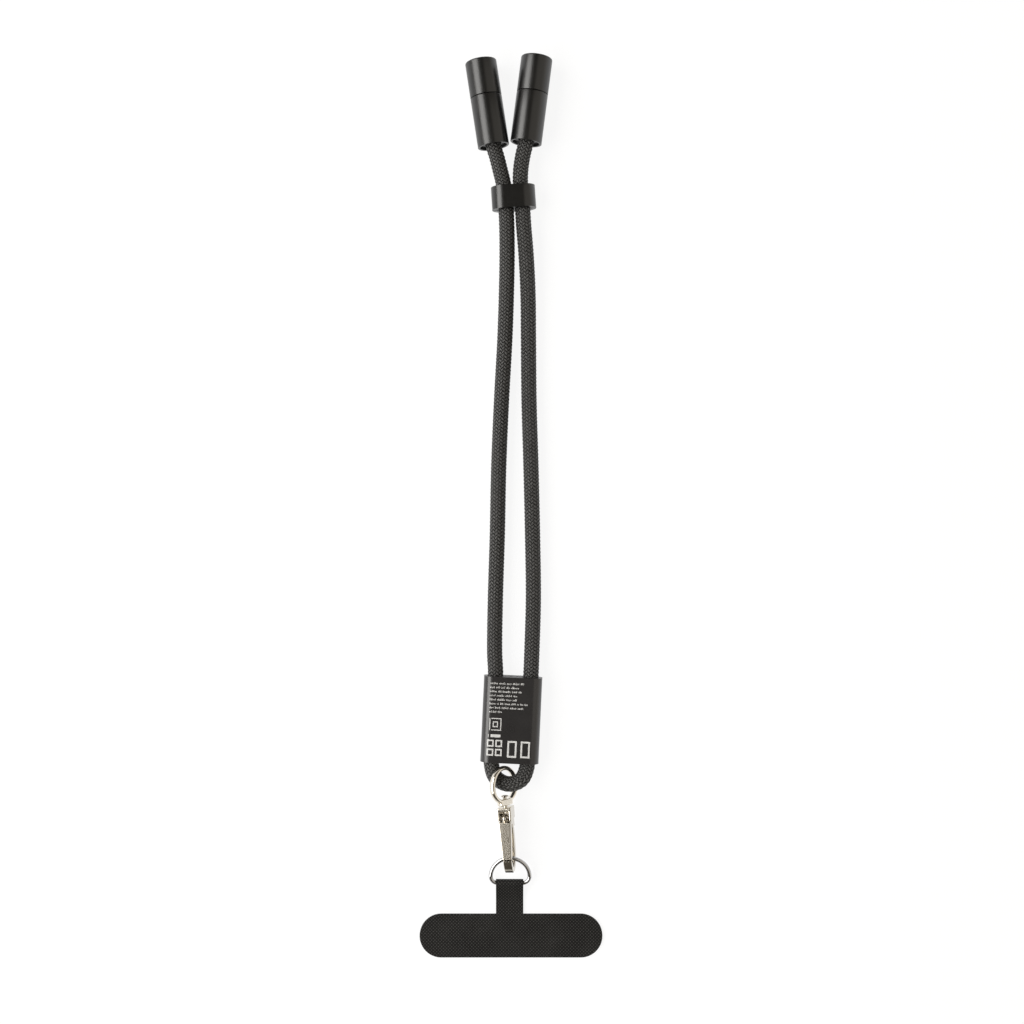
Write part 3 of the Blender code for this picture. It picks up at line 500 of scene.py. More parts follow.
# %% The cord's route
CORD_DIAMETER = 5.6 * MM
CORD_ROUTE = [
    (-7.61, 212.75, 5.65), (-6.33, 204.35, 5.65), (-5.15, 200.50, 5.25),
    (-4.00, 196.00, 4.95), (-2.95, 191.70, 4.75), (-2.15, 186.00, 4.70),
    (-1.62, 176.50, 4.60), (-1.50, 165.50, 4.35), (-1.75, 152.00, 3.35),
    (-2.30, 136.00, 2.85), (-3.50, 114.00, 2.81), (-4.50, 90.00, 2.81),
    (-5.00, 66.00, 2.81), (-5.70, 43.00, 2.85), (-5.95, 24.00, 3.50),
    (-5.60, 15.57, 3.90), (-6.85, -11.94, 3.90), (-7.05, -16.40, 3.90),
    (-5.45, -20.90, 4.05), (-1.05, -22.95, 5.00), (3.55, -21.35, 5.15),
    (5.60, -16.95, 4.05), (5.74, -12.51, 3.90), (6.99, 15.00, 3.90),
    (7.35, 24.00, 3.50), (7.90, 43.00, 2.85), (7.60, 66.00, 2.81),
    (7.05, 90.00, 2.81), (6.35, 114.00, 2.81), (6.15, 136.00, 2.85),
    (5.98, 152.00, 3.35), (5.30, 165.50, 4.35), (4.40, 176.50, 4.60),
    (3.80, 186.00, 4.70), (3.25, 191.70, 4.75), (3.42, 196.50, 4.95),
    (4.20, 201.40, 5.30), (5.22, 205.56, 5.65), (6.31, 213.99, 5.65),
]
CURVE_LEVELS = (((0, 1), (1, 2), (2, 3)), ((0, 2), (1, 3)), ((1, 2),))


def smooth_line(points, step):
    """Points about a step apart on a centripetal Catmull-Rom curve."""
    points = np.array(points, float)
    ends = 2 * points[[0, -1]] - points[[1, -2]]
    padded = np.vstack([ends[:1], points, ends[1:]])
    line = []
    for i in range(len(points) - 1):
        four = padded[i:i + 4]
        gaps = np.sqrt(np.linalg.norm(np.diff(four, axis=0), axis=1))
        knots = np.concatenate([[0.0], np.cumsum(gaps)])
        count = max(1, math.ceil(np.linalg.norm(four[2] - four[1]) / step))
        for t in np.linspace(knots[1], knots[2], count, endpoint=False):
            level = four
            for pairs in CURVE_LEVELS:
                shares = [(t - knots[a]) / (knots[b] - knots[a]) for a, b in pairs]
                level = [
                    level[j] * (1 - share) + level[j + 1] * share
                    for j, share in enumerate(shares)
                ]
            line.append(level[0])
    return np.array([*line, points[-1]])


def distances(line):
    """How far along the line each of its points lies."""
    steps = np.linalg.norm(np.diff(line, axis=0), axis=1)
    return np.concatenate([[0.0], np.cumsum(steps)])


def directions(line):
    """The unit direction of the line at each of its points."""
    along = np.gradient(line, axis=0)
    return along / np.linalg.norm(along, axis=1)[:, None]


cord_line = smooth_line(np.array(CORD_ROUTE) * MM, 0.5 * MM)
cord_distance = distances(cord_line)
CORD_LENGTH = float(cord_distance[-1])
print("the cord is", round(CORD_LENGTH, 4), "m long")

# %% [markdown]
# A frame travels along the curve without twisting: at each point the last sideways
# direction is kept, less its part along the curve. The braid is wound on that frame.


# %% Frames along the cord
def carried_frames(line):
    """Two unit directions across the line at each of its points, with no twist."""
    along = directions(line)
    side = np.array([0.0, 0.0, 1.0])
    sides = []
    for direction in along:
        side = side - direction * side.dot(direction)
        side = side / np.linalg.norm(side)
        sides.append(side)
    sides = np.array(sides)
    return sides, np.cross(along, sides)


cord_side, cord_cross = carried_frames(cord_line)


def on_cord(distance, angle, radius):
    """Places at a distance along the cord, an angle round it and a radius off it."""
    def read(rows):
        return np.stack(
            [np.interp(distance, cord_distance, rows[:, i]) for i in range(3)], axis=-1)

    out = read(cord_side) * np.cos(angle)[..., None]
    out += read(cord_cross) * np.sin(angle)[..., None]
    return read(cord_line) + out * radius[..., None]


print("frames are carried to", len(cord_side), "points")

# %% [markdown]
# The core is a plain dark tube: a curve with a bevel, which is what the frame measures
# as the cord. It only shows in the pinholes between the yarns.

# %% Cord core
CORE_RADIUS = 2.3 * MM
core_curve = bpy.data.curves.new("cord_core", "CURVE")
core_curve.dimensions = "3D"
core_curve.bevel_depth = CORE_RADIUS
core_curve.bevel_resolution = 6
core_curve.use_fill_caps = True
spline = core_curve.splines.new("POLY")
core_points = cord_line[::3]
spline.points.add(len(core_points) - 1)
for number, point in enumerate(core_points):
    spline.points[number].co = (*point, 1.0)
core_curve.materials.append(core_finish)
cord_core = linked_object("cord_core", core_curve)
print("the core follows", len(core_points), "points")

# %% [markdown]
# ## The braid
#
# Thirty-two carriers braid the cover, sixteen each way round, and each yarn passes over
# two and under two. That could be a bump pattern, but the silhouette and the V-shaped
# flecks come from yarns that really rise and dive, helped by a painted highlight on each
# float's crest. So one straight yarn is made with an operator, copied for all carriers,
# and a formula winds each copy round the cord.

# %% A straight yarn
CARRIERS = 16                    # each way round
LEAD = 20.8 * MM                 # cord length in which a yarn goes once round
YARN_WIDTH = 0.80 * MM
YARN_THICKNESS = 0.32 * MM
YARN_STEP = 0.45 * MM
YARN_RISE = 0.17 * MM
YARN_SIDES = 6
BRAID_RADIUS = CORD_DIAMETER / 2 - YARN_RISE - YARN_THICKNESS / 2
YARN_ANGLE = math.atan(2 * math.pi * BRAID_RADIUS / LEAD)


def straight_yarn(length, step):
    """A closed bar along Z with a six-sided section one unit across."""
    bm = bmesh.new()
    bmesh.ops.create_circle(bm, segments=YARN_SIDES, radius=0.5)
    pull_up(bm, length, math.ceil(length / step))
    return mesh_of(bm, "straight_yarn")


def pull_up(bm, length, steps):
    """Draws a flat outline up Z in equal steps and closes both ends."""
    bmesh.ops.spin(
        bm, geom=bm.verts[:] + bm.edges[:], cent=(0, 0, 0), axis=(0, 0, 1),
        dvec=(0.0, 0.0, length / steps), angle=0.0, steps=steps)
    rims = [edge for edge in bm.edges if edge.is_boundary]
    bmesh.ops.holes_fill(bm, edges=rims, sides=0)
    bmesh.ops.recalc_face_normals(bm, faces=bm.faces)


print("yarns lie at", round(math.degrees(YARN_ANGLE), 1), "degrees to the cord")


# %% Wind the braid
def wound_braid(name, start, end, step):
    """A piece of the cover between two distances along the cord."""
    yarn = straight_yarn(end - start, step)
    bm = bmesh.new()
    for _ in range(2 * CARRIERS):
        bm.from_mesh(yarn)
    mesh = mesh_of(bm, name)
    bpy.data.meshes.remove(yarn)

    corners = np.empty(len(mesh.vertices) * 3, np.float32)
    mesh.vertices.foreach_get("co", corners)
    across, lift, along = np.moveaxis(corners.reshape(2 * CARRIERS, -1, 3), 2, 0)
    along = along + start
    carrier = np.arange(2 * CARRIERS)[:, None]
    way = np.where(carrier < CARRIERS, 1.0, -1.0)
    number = carrier % CARRIERS

    crossing = 2 * CARRIERS * along / LEAD
    beat = 2 * np.pi * (2 * number + way * crossing - 0.5) / 4
    over = np.clip(1.5 * way * np.cos(beat), -1.0, 1.0)
    offset = across * YARN_WIDTH
    distance = along - way * offset * math.sin(YARN_ANGLE)
    angle = way * 2 * np.pi * along / LEAD + 2 * np.pi * number / CARRIERS
    angle = angle + offset * math.cos(YARN_ANGLE) / BRAID_RADIUS
    radius = BRAID_RADIUS + over * YARN_RISE + lift * YARN_THICKNESS
    placed = on_cord(distance, angle, radius)
    mesh.vertices.foreach_set("co", placed.astype(np.float32).ravel())

    chart = np.stack([along, carrier + across + 0.5], axis=-1).reshape(-1, 2)
    write_chart(mesh, "yarn", chart)
    # crest is how high the yarn rides; the yarn's finish paints a highlight on the crests and
    # shade where it dives.
    crest = mesh.attributes.new("crest", "FLOAT", "POINT")
    height = np.broadcast_to((way * np.cos(beat) + 1) / 2, along.shape)
    crest.data.foreach_set("value", height.astype(np.float32).ravel())
    mesh.shade_smooth()
    mesh.materials.append(yarn_finish)
    print(name, "has", 2 * len(mesh.polygons), "triangles or so")
    return linked_object(name, mesh)


def write_chart(mesh, name, values):
    """A map on the mesh from one pair of numbers for each vertex."""
    corners = np.empty(len(mesh.loops), np.int32)
    mesh.loops.foreach_get("vertex_index", corners)
    chart = mesh.uv_layers.new(name=name)
    chart.data.foreach_set("uv", values[corners].astype(np.float32).ravel())


loop_rows = np.flatnonzero(cord_line[:, 1] < 0.0)
loop_start = float(cord_distance[loop_rows[0]])
loop_end = float(cord_distance[loop_rows[-1]])
braids = [
    wound_braid("braid_left_strand", 0.0, loop_start, YARN_STEP),
    wound_braid("braid_loop", loop_start, loop_end, YARN_STEP * 0.7),
    wound_braid("braid_right_strand", loop_end, CORD_LENGTH, YARN_STEP),
]

# %% [markdown]
# The core and its three lengths of cover ride with the cable's body. The lengths meet
# inside the sleeve, where no one sees the joins.

for piece in (cord_core, *braids):
    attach(piece, "cable")
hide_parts("cord")
print("the core and", len(braids), "braids ride with the cable")

# %% [markdown]
# ## Working frames
#
# Each piece was designed along its own axis, so it is easiest to model there and then
# to set down. The joints say where those axes are: a cap's slide gives its end's
# direction, the swivel and gate hinges give the hook's, and so on.


# %% Frames from the joints
def strand_frame(axis, node):
    """A frame at the low end of a CAD node: Z up the strand, Y into the table."""
    z = Vector(axis).normalized()
    y = Vector((0.0, 0.0, -1.0))
    turn = basis(Vector(), y.cross(z), y, z)
    low, high = measured(node, turn)
    middle = (low + high) / 2
    return turn @ Matrix.Translation((middle.x, middle.y, low.z))


def measured(node, place):
    """Lowest and highest corner of a CAD node in a frame of its own."""
    inverse = place.inverted()
    points = np.array([inverse @ v.co for v in frame["nodes"][node].data.vertices])
    return Vector(points.min(0)), Vector(points.max(0))


def long_axis(node):
    """The direction in which a symmetric CAD node is longest, up the lanyard."""
    points = np.array([v.co for v in frame["nodes"][node].data.vertices])
    axis = np.linalg.svd(points - points.mean(0), full_matrices=False)[2][0]
    return Vector(axis) * math.copysign(1.0, axis[1])


ends = {
    side: strand_frame(joints[side + "_cap_pull"]["axis"], side + "_housing")
    for side in ("left", "right")
}
slider_place = strand_frame(joints["slider_slide"]["axis"], "slider")
sleeve_place = strand_frame(long_axis("sleeve"), "sleeve")

swivel_point = Vector(joints["hook_swivel"]["pos_m"])
swivel_axis = Vector(joints["hook_swivel"]["axis"])
gate_axis = Vector(joints["gate_hinge"]["axis"])
hook_place = basis(swivel_point, gate_axis, swivel_axis, gate_axis.cross(swivel_axis))
ring_normal = Vector(joints["ring_turn"]["axis"])
ring_place = basis(
    swivel_point, swivel_axis.cross(ring_normal), swivel_axis, ring_normal)

bar_point = Vector(joints["tether_fold"]["pos_m"])
bow_point = Vector(joints["d_ring_swing"]["pos_m"])
d_up = (bow_point - bar_point).normalized()
across = Vector((1.0, 0.0, 0.0))
d_place = basis(bar_point, across, d_up, across.cross(d_up))
print("sleeve axis", [round(value, 4) for value in long_axis("sleeve")])

# %% [markdown]
# ## Modelling helpers
#
# Most pieces here are one of three shapes: a profile spun about an axis, a flat tube
# with rounded corners, or a bar that follows a bend. Each gets a helper that starts
# from an operator, and one more helper turns the result into a finished object.


# %% Finish a piece
def add_piece(name, bm, place, finish, body, replaced=(), sharp=40.0):
    """Sets a bmesh down at its place and rides it on a CAD body."""
    bmesh.ops.transform(bm, matrix=place, verts=bm.verts)
    mesh = mesh_of(bm, name)
    mesh.shade_smooth()
    mesh.set_sharp_from_angle(angle=math.radians(sharp))
    mesh.materials.append(finish)
    piece = linked_object(name, mesh)
    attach(piece, body)
    if replaced:
        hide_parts(*replaced)
    print(name, "has", len(mesh.polygons), "faces")
    return piece


SHARP = math.radians(60.0)


def bevel(bm, geom, width, segments, affect="EDGES", clamp=False):
    bmesh.ops.bevel(
        bm, geom=geom, offset=width, segments=segments, profile=0.5, affect=affect,
        material=-1, clamp_overlap=clamp)


def round_edges(bm, width, segments=3):
    """Bevels every sharp edge."""
    edges = [e for e in bm.edges if e.calc_face_angle(0.0) > SHARP]
    bevel(bm, edges, width, segments, clamp=True)


def add_shape(bm, other):
    """Adds another bmesh's shape to this one and frees it."""
    shape = mesh_of(other, "shape")
    bm.from_mesh(shape)
    bpy.data.meshes.remove(shape)


print("edges over", round(math.degrees(SHARP)), "degrees will be rounded")

# %% A turned piece
TURNED_SIDES = 96


def turned(outline, closed=True, sides=TURNED_SIDES):
    """An outline of (radius, height) points spun once round Z."""
    bm = bmesh.new()
    verts = [bm.verts.new((radius, 0.0, height)) for radius, height in outline]
    pairs = list(zip(verts, verts[1:]))
    if closed and outline[0][0] > 0:
        pairs.append((verts[-1], verts[0]))
    for pair in pairs:
        bm.edges.new(pair)
    spin_round(bm, sides)
    return bm


def spin_round(bm, steps):
    """Spins an outline once round Z and merges what meets."""
    bmesh.ops.spin(
        bm, geom=bm.verts[:] + bm.edges[:], cent=(0, 0, 0), axis=(0, 0, 1),
        dvec=(0, 0, 0), angle=2 * math.pi, steps=steps, use_merge=True)
    bmesh.ops.remove_doubles(bm, verts=bm.verts, dist=0.001 * MM)
    bmesh.ops.recalc_face_normals(bm, faces=bm.faces)


print("a turned piece has", TURNED_SIDES, "sides")


# %% A flat tube
def rounded_bar(width, thickness, low, high, corner, segments):
    """A bar along Z whose four long edges are rounded."""
    bm = bmesh.new()
    bmesh.ops.create_cube(bm, size=1.0)
    size = Matrix.Diagonal((width, thickness, high - low, 1.0))
    move = Matrix.Translation((0.0, 0.0, (low + high) / 2))
    bmesh.ops.transform(bm, matrix=move @ size, verts=bm.verts)
    long_edges = [e for e in bm.edges if abs(e.verts[0].co.z - e.verts[1].co.z) > 0]
    bevel(bm, long_edges, corner, segments)
    return bm


def flat_tube(width, thickness, length, corner, wall, edge, segments=12):
    """A tube along Z with a rounded rectangular section and rounded rims."""
    bm = rounded_bar(width, thickness, 0.0, length, corner, segments)
    inner = rounded_bar(
        width - 2 * wall, thickness - 2 * wall, 0.0, length, corner - wall, segments)
    add_shape(bm, inner)
    end_faces = [f for f in bm.faces if abs(f.normal.z) > 0.99]
    bmesh.ops.delete(bm, geom=end_faces, context="FACES_ONLY")
    for level in (0.0, length):
        rims = [
            e for e in bm.edges
            if e.is_boundary and all(abs(v.co.z - level) < 0.01 * MM for v in e.verts)
        ]
        bmesh.ops.bridge_loops(bm, edges=rims)
    bmesh.ops.recalc_face_normals(bm, faces=bm.faces)
    round_edges(bm, edge)
    return bm


print("a flat tube is one rounded bar bored out by another")

# %% [markdown]
# ## The connector ends
#
# Each end is two turned black tubes that meet at a fine seam: the housing that is glued
# on the cable, and the cap that pulls off the plug. Real edges are broken with a small
# radius, which is what catches the light along the seam, so the outline has its corners
# and a bevel rounds them after the spin.

# %% Measure an end
left_low, left_high = measured("left_housing", ends["left"])
cap_low, cap_high = measured("left_cap", ends["left"])
END_RADIUS = (left_high.x - left_low.x) / 2
HOUSING_LENGTH = left_high.z - left_low.z
CAP_LENGTH = cap_high.z - cap_low.z
CAP_SEAM = cap_low.z - HOUSING_LENGTH
HOUSING_WALL = 0.8 * MM
HOUSING_FACE = 1.2 * MM
CAP_WALL = 0.65 * MM
CAP_TOP = 1.0 * MM
CAP_ROUNDING = 0.6 * MM
SEAM_OPENING = 0.12 * MM         # added to the seam, so that it reads as a line
PLUG_WIDTH = 8.34 * MM
PLUG_THICKNESS = 2.56 * MM
PLUG_GAP = 0.15 * MM
print("an end is", round(2 * END_RADIUS / MM, 2), "mm across")


# %% Housings
def oblong_loop(bm, width, thickness, height, count):
    """A ring of edges round an oblong, evenly set out like a circle's."""
    made = bmesh.ops.create_circle(bm, segments=count, radius=thickness / 2)["verts"]
    straight = (width - thickness) / 2
    for vert in made:
        vert.co.x += math.copysign(straight, vert.co.x)
        vert.co.z = height
    return loop_edges(made)


def loop_edges(verts):
    chosen = set(verts)
    return [
        e for e in {e for v in verts for e in v.link_edges}
        if e.verts[0] in chosen and e.verts[1] in chosen
    ]


def make_housing(side, finish):
    bore = END_RADIUS - HOUSING_WALL
    opening = PLUG_WIDTH / 2 + PLUG_GAP + 0.25 * MM
    inside = HOUSING_LENGTH - HOUSING_FACE
    bm = turned([
        (opening, inside), (bore, inside), (bore, 0.0), (END_RADIUS, 0.0),
        (END_RADIUS, HOUSING_LENGTH), (opening, HOUSING_LENGTH),
    ], closed=False)
    rims = [e for e in bm.edges if e.is_boundary]
    outer_rim = [e for e in rims if e.verts[0].co.z > HOUSING_LENGTH - HOUSING_FACE / 2]
    inner_rim = [e for e in rims if e not in outer_rim]
    hole = PLUG_THICKNESS + 2 * PLUG_GAP
    width = PLUG_WIDTH + 2 * PLUG_GAP
    front = oblong_loop(bm, width, hole, HOUSING_LENGTH, TURNED_SIDES)
    back = oblong_loop(bm, width, hole, inside, TURNED_SIDES)
    for pair in ((outer_rim, front), (front, back), (back, inner_rim)):
        bmesh.ops.bridge_loops(bm, edges=pair[0] + pair[1])
    bmesh.ops.recalc_face_normals(bm, faces=bm.faces)
    round_edges(bm, 0.14 * MM)
    add_piece(side + "_housing_shell", bm, ends[side], finish, "cable",
              [side + "_housing"])


print("a housing is", round(HOUSING_LENGTH / MM, 2), "mm long")


# %% Caps
def make_cap(side, finish):
    low = HOUSING_LENGTH + CAP_SEAM + SEAM_OPENING
    high = HOUSING_LENGTH + CAP_SEAM + CAP_LENGTH
    bore = END_RADIUS - CAP_WALL
    soft = CAP_ROUNDING
    rounding = [
        (END_RADIUS - soft + soft * math.sin(angle), high - soft + soft * math.cos(angle))
        for angle in np.linspace(0.0, math.pi / 2, 7)
    ]
    bm = turned([
        (0.0, high), *rounding, (END_RADIUS, low), (bore, low),
        (bore, high - CAP_TOP), (0.0, high - CAP_TOP),
    ])
    round_edges(bm, 0.16 * MM)
    add_piece(side + "_cap_shell", bm, ends[side], finish, side + "_cap",
              [side + "_cap"])


print("a cap is", round(CAP_LENGTH / MM, 2), "mm long")


# %% Entry grommets
def make_grommet(side):
    low, high = measured(side + "_entry_grommet", ends[side])
    outer = (high.x - low.x) / 2
    inner = CORD_DIAMETER / 2 + 0.12 * MM
    bm = turned([
        (inner, low.z), (outer, low.z), (outer, high.z), (inner, high.z),
    ])
    round_edges(bm, 0.18 * MM)
    add_piece(side + "_rubber_grommet", bm, ends[side], black_plastic, "cable",
              [side + "_entry_grommet"])


for side in ("left", "right"):
    lean = math.atan2(-ends[side].col[2].x, ends[side].col[2].y)
    turned_finish = make_anodised_finish(
        "black_anodised_" + side, TURNED_BLACK, lean, 0.5)
    make_housing(side, turned_finish)
    make_cap(side, turned_finish)
    make_grommet(side)

# %% [markdown]
# ## Slider and sleeve
#
# Both are cut from flat drawn tube. The slider is narrow, with fully round sides. The
# sleeve is long and has a flat face, where the maker prints.

# %% Slider
SLIDER_WALL = 1.4 * MM
SLIDER_EDGE = 0.3 * MM
low, high = measured("slider", slider_place)
slider_size = high - low
bm = flat_tube(
    *slider_size, corner=slider_size.y * 0.49, wall=SLIDER_WALL, edge=SLIDER_EDGE,
    segments=16)
add_piece("slider_ring", bm, slider_place, anodised_slider, "slider",
          ["slider"])

# %% Sleeve
SLEEVE_CORNER = 3.3 * MM
SLEEVE_WALL = 1.0 * MM
SLEEVE_EDGE = 0.16 * MM
low, high = measured("sleeve", sleeve_place)
sleeve_size = high - low
bm = flat_tube(*sleeve_size, SLEEVE_CORNER, SLEEVE_WALL, SLEEVE_EDGE)
sleeve = add_piece("sleeve_tube", bm, sleeve_place, anodised_sleeve, "cable",
                   ["sleeve"])
print("sleeve, mm:", in_millimetres(sleeve_size))

# %% [markdown]
# The sleeve's face is printed in pale ink. The print here is a stand-in that says
# nothing: rows of plain ticks where small type would be, and plain shapes below them.
# Each mark is a thin plate that is laid on the sleeve, so it follows the rounded corner.

# %% Printed marks
INK_HEIGHT = 0.012 * MM


def print_marks(rectangles):
    """Thin plates, each (left, low, width, height) on the sleeve's face."""
    bm = bmesh.new()
    for left, low, width, height in rectangles:
        made = bmesh.ops.create_grid(bm, x_segments=2, y_segments=1, size=0.5)["verts"]
        size = Matrix.Diagonal((width, height, 1.0, 1.0))
        middle = Matrix.Translation((left + width / 2, low + height / 2, 0.0))
        bmesh.ops.transform(bm, matrix=middle @ size, verts=made)
    return bm


def tick_row(left, top, width, seed):
    """A row of ticks in word-like groups, as small print looks from afar."""
    rng = np.random.default_rng(seed)
    ticks = []
    reach = left
    while reach < left + width:
        for _ in range(rng.integers(2, 8)):
            tall = rng.choice([0.46, 0.46, 0.70]) * MM
            wide = rng.uniform(0.12, 0.30) * MM
            ticks.append((reach, top - 0.8 * MM, wide, tall))
            reach += wide + 0.18 * MM
        reach += 0.4 * MM
    return [tick for tick in ticks if tick[0] + tick[2] < left + width]


def outline_box(left, low, width, height, line):
    """The four strokes of a plain rectangle's outline."""
    return [
        (left, low, width, line), (left, low + height - line, width, line),
        (left, low + line, line, height - 2 * line),
        (left + width - line, low + line, line, height - 2 * line),
    ]


INK_LEFT = -8.0 * MM
ROW_PITCH = 1.44 * MM
ROW_WIDTHS = (11.9, 10.6, 11.5, 9.9, 9.6, 13.9, 12.2, 4.8)
marks = []
for number, width in enumerate(ROW_WIDTHS):
    top = sleeve_size.z - 1.8 * MM - number * ROW_PITCH
    marks += tick_row(INK_LEFT, top, width * MM, number)
SMALL_BOX = (2.4, 2.5, 0.50)
TALL_BOX = (3.3, 5.9, 0.62)
OUTLINES = [                     # left, low, width, height and stroke, in millimetres
    (0.3, 11.6, 4.2, 4.4, 0.30), (1.5, 12.8, 1.8, 2.0, 0.30),
    (-0.3, 2.6, *SMALL_BOX), (-0.3, 5.8, *SMALL_BOX),
    (2.7, 2.6, *SMALL_BOX), (2.7, 5.8, *SMALL_BOX),
    (7.0, 2.2, *TALL_BOX), (11.7, 2.2, *TALL_BOX),
]
for left, *others in OUTLINES:
    marks += outline_box(INK_LEFT + left * MM, *(size * MM for size in others))
marks.append((INK_LEFT, 9.2 * MM, 4.4 * MM, 1.0 * MM))

bm = print_marks(marks)
bmesh.ops.subdivide_edges(bm, edges=bm.edges[:], cuts=1, use_grid_fill=True)
surface = BVHTree.FromPolygons(
    [v.co for v in sleeve.data.vertices], [p.vertices for p in sleeve.data.polygons])
down = Vector((0.0, 0.0, -1.0))
for vert in bm.verts:
    above = sleeve_place @ Vector((vert.co.x, -sleeve_size.y, vert.co.y))
    hit, normal, _, _ = surface.ray_cast(above, down)
    vert.co = hit + normal * INK_HEIGHT
made = bmesh.ops.extrude_face_region(bm, geom=bm.faces[:])["geom"]
raised = [item for item in made if isinstance(item, bmesh.types.BMVert)]
bmesh.ops.translate(bm, vec=(0.0, 0.0, INK_HEIGHT), verts=raised)
bmesh.ops.recalc_face_normals(bm, faces=bm.faces)
add_piece("printed_marks", bm, Matrix.Identity(4), ink, "cable")
print(len(marks), "printed marks")

# %% [markdown]
# ## The swivel ring
#
# The ring is cast in one piece with its flat collar, so wire and collar flow into each
# other. Joining the two shapes with a Boolean would leave a hard line there. A voxel
# remesh joins them and, smoothed a little, gives the soft inner corners of a casting.


# %% Cast shapes
def cast(bm, voxel, smooth_steps):
    """The overlapping closed shapes of a bmesh as one smooth skin."""
    rough = mesh_of(bm, "rough_casting")
    holder = linked_object("rough_casting", rough)
    remesh = holder.modifiers.new("skin", "REMESH")
    remesh.mode = "VOXEL"
    remesh.voxel_size = voxel
    bpy.context.view_layer.update()
    depsgraph = bpy.context.evaluated_depsgraph_get()
    mesh = bpy.data.meshes.new_from_object(holder.evaluated_get(depsgraph))
    bpy.data.objects.remove(holder)
    bpy.data.meshes.remove(rough)
    skin = bmesh.new()
    skin.from_mesh(mesh)
    bpy.data.meshes.remove(mesh)
    for _ in range(smooth_steps):
        bmesh.ops.smooth_vert(
            skin, verts=skin.verts, factor=0.5, use_axis_x=True, use_axis_y=True,
            use_axis_z=True)
    return skin


def block(low, high, edge, segments=3):
    """A box between two corners with rounded edges."""
    low, high = Vector(low), Vector(high)
    bm = bmesh.new()
    bmesh.ops.create_cube(bm, size=1.0)
    size = Matrix.Diagonal((*(high - low), 1.0))
    bmesh.ops.transform(
        bm, matrix=Matrix.Translation((low + high) / 2) @ size, verts=bm.verts)
    bevel(bm, bm.edges[:], edge, segments)
    return bm


print("castings are skinned by a voxel remesh")

# %% Swivel ring
RING_WIRE = 1.7 * MM
RING_BREADTH = 1.35              # the wire's breadth across the ring's plane
COLLAR_TOP = -4.5 * MM
COLLAR_FOOT = -6.9 * MM
COLLAR_WIDTH = 5.9 * MM
COLLAR_DEPTH = 2.4 * MM
low, high = measured("swivel_ring", ring_place)
ring_across = (high.x - low.x - RING_WIRE) / 2
ring_up = high.y - RING_WIRE / 2
ring_down = -(COLLAR_TOP + COLLAR_FOOT) / 2

bm = bmesh.new()
bmesh.ops.create_circle(bm, segments=20, radius=RING_WIRE / 2)
stand = Matrix.Rotation(math.radians(90.0), 4, "X")
broad = Matrix.Diagonal((1.0, 1.0, RING_BREADTH, 1.0))
bmesh.ops.transform(
    bm, matrix=Matrix.Translation((ring_across, 0.0, 0.0)) @ broad @ stand,
    verts=bm.verts)
spin_round(bm, TURNED_SIDES)
for vert in bm.verts:
    middle = Vector((vert.co.x, vert.co.y, 0.0)).normalized() * ring_across
    stretch = (ring_up if vert.co.y > 0 else ring_down) / ring_across
    vert.co.y += middle.y * (stretch - 1)
add_shape(bm, block(
    (-COLLAR_WIDTH / 2, COLLAR_FOOT, -COLLAR_DEPTH / 2),
    (COLLAR_WIDTH / 2, COLLAR_TOP, COLLAR_DEPTH / 2), 0.45 * MM))
bm = cast(bm, 0.11 * MM, 4)
add_piece("swivel_ring_casting", bm, ring_place, ring_nickel, "swivel_ring",
          ["swivel_ring"])

# %% [markdown]
# The post is a rivet: its mushroom head sits inside the ring, above the collar, and its
# shank runs down into the hook. It is a plain turned shape with a domed head.

# %% Swivel post
low, high = measured("swivel_post", hook_place)
post_head = (high.x - low.x) / 2
post_radius = 0.7 * MM
head_foot = COLLAR_TOP + 0.75 * MM
head_rim = head_foot + 0.2 * MM
dome = [
    (post_head * math.sin(angle), head_rim + 0.4 * MM * math.cos(angle))
    for angle in np.linspace(0.0, math.pi / 2, 8)
]
bm = turned([*dome, (post_head, head_foot), (post_radius, head_foot),
             (post_radius, low.y), (0.0, low.y)], sides=48)
upright = Matrix.Rotation(math.radians(-90.0), 4, "X")
bmesh.ops.transform(bm, matrix=upright, verts=bm.verts)
add_piece("swivel_rivet", bm, hook_place, nickel, "hook", ["swivel_post"])

# %% [markdown]
# ## The hook
#
# The hook is a casting too: a slotted head on the swivel post, a spine behind, and a
# bowl that comes round to a blunt nose. The spine, bowl and nose are one bar that is
# made straight and then bent along a curve in the hook's side view. Head, cheeks and
# bar are then skinned together.

# %% Hook sizes
hook_low, hook_high = measured("hook_body", hook_place)
HEAD_TOP = hook_high.y
HOOK_LENGTH = hook_high.y - hook_low.y
HEAD_WIDTH = 5.1 * MM
HEAD_FOOT_WIDTH = 4.5 * MM
HEAD_BACK = -3.2 * MM
HEAD_FRONT = 3.2 * MM
HEAD_LENGTH = 7.5 * MM
SLOT_WIDTH = 3.3 * MM
SLOT_TOP = 1.2 * MM
SLOT_FLOOR = -1.6 * MM
BAR_THICKNESS = 2.0 * MM
BAR_WIDTH = 3.3 * MM
NOSE_OFFSET = 0.25 * MM
TIP_DROP = 18.0 * MM
TIP_RISE = 3.45 * MM
pivot = hook_place.inverted() @ Vector(joints["gate_hinge"]["pos_m"])
print("the gate pivots", round((HEAD_TOP - pivot.y) / MM, 2), "mm below the head's top")


# %% A bent bar
BAR_ROUNDING = 0.25              # in millimetres


def bar_section():
    """The outline of a square two units across, with rounded corners."""
    bm = bmesh.new()
    bmesh.ops.create_grid(bm, x_segments=1, y_segments=1, size=1.0)
    bevel(bm, bm.verts[:], BAR_ROUNDING, 4, affect="VERTICES")
    bmesh.ops.delete(bm, geom=bm.faces[:], context="FACES_ONLY")
    return bm


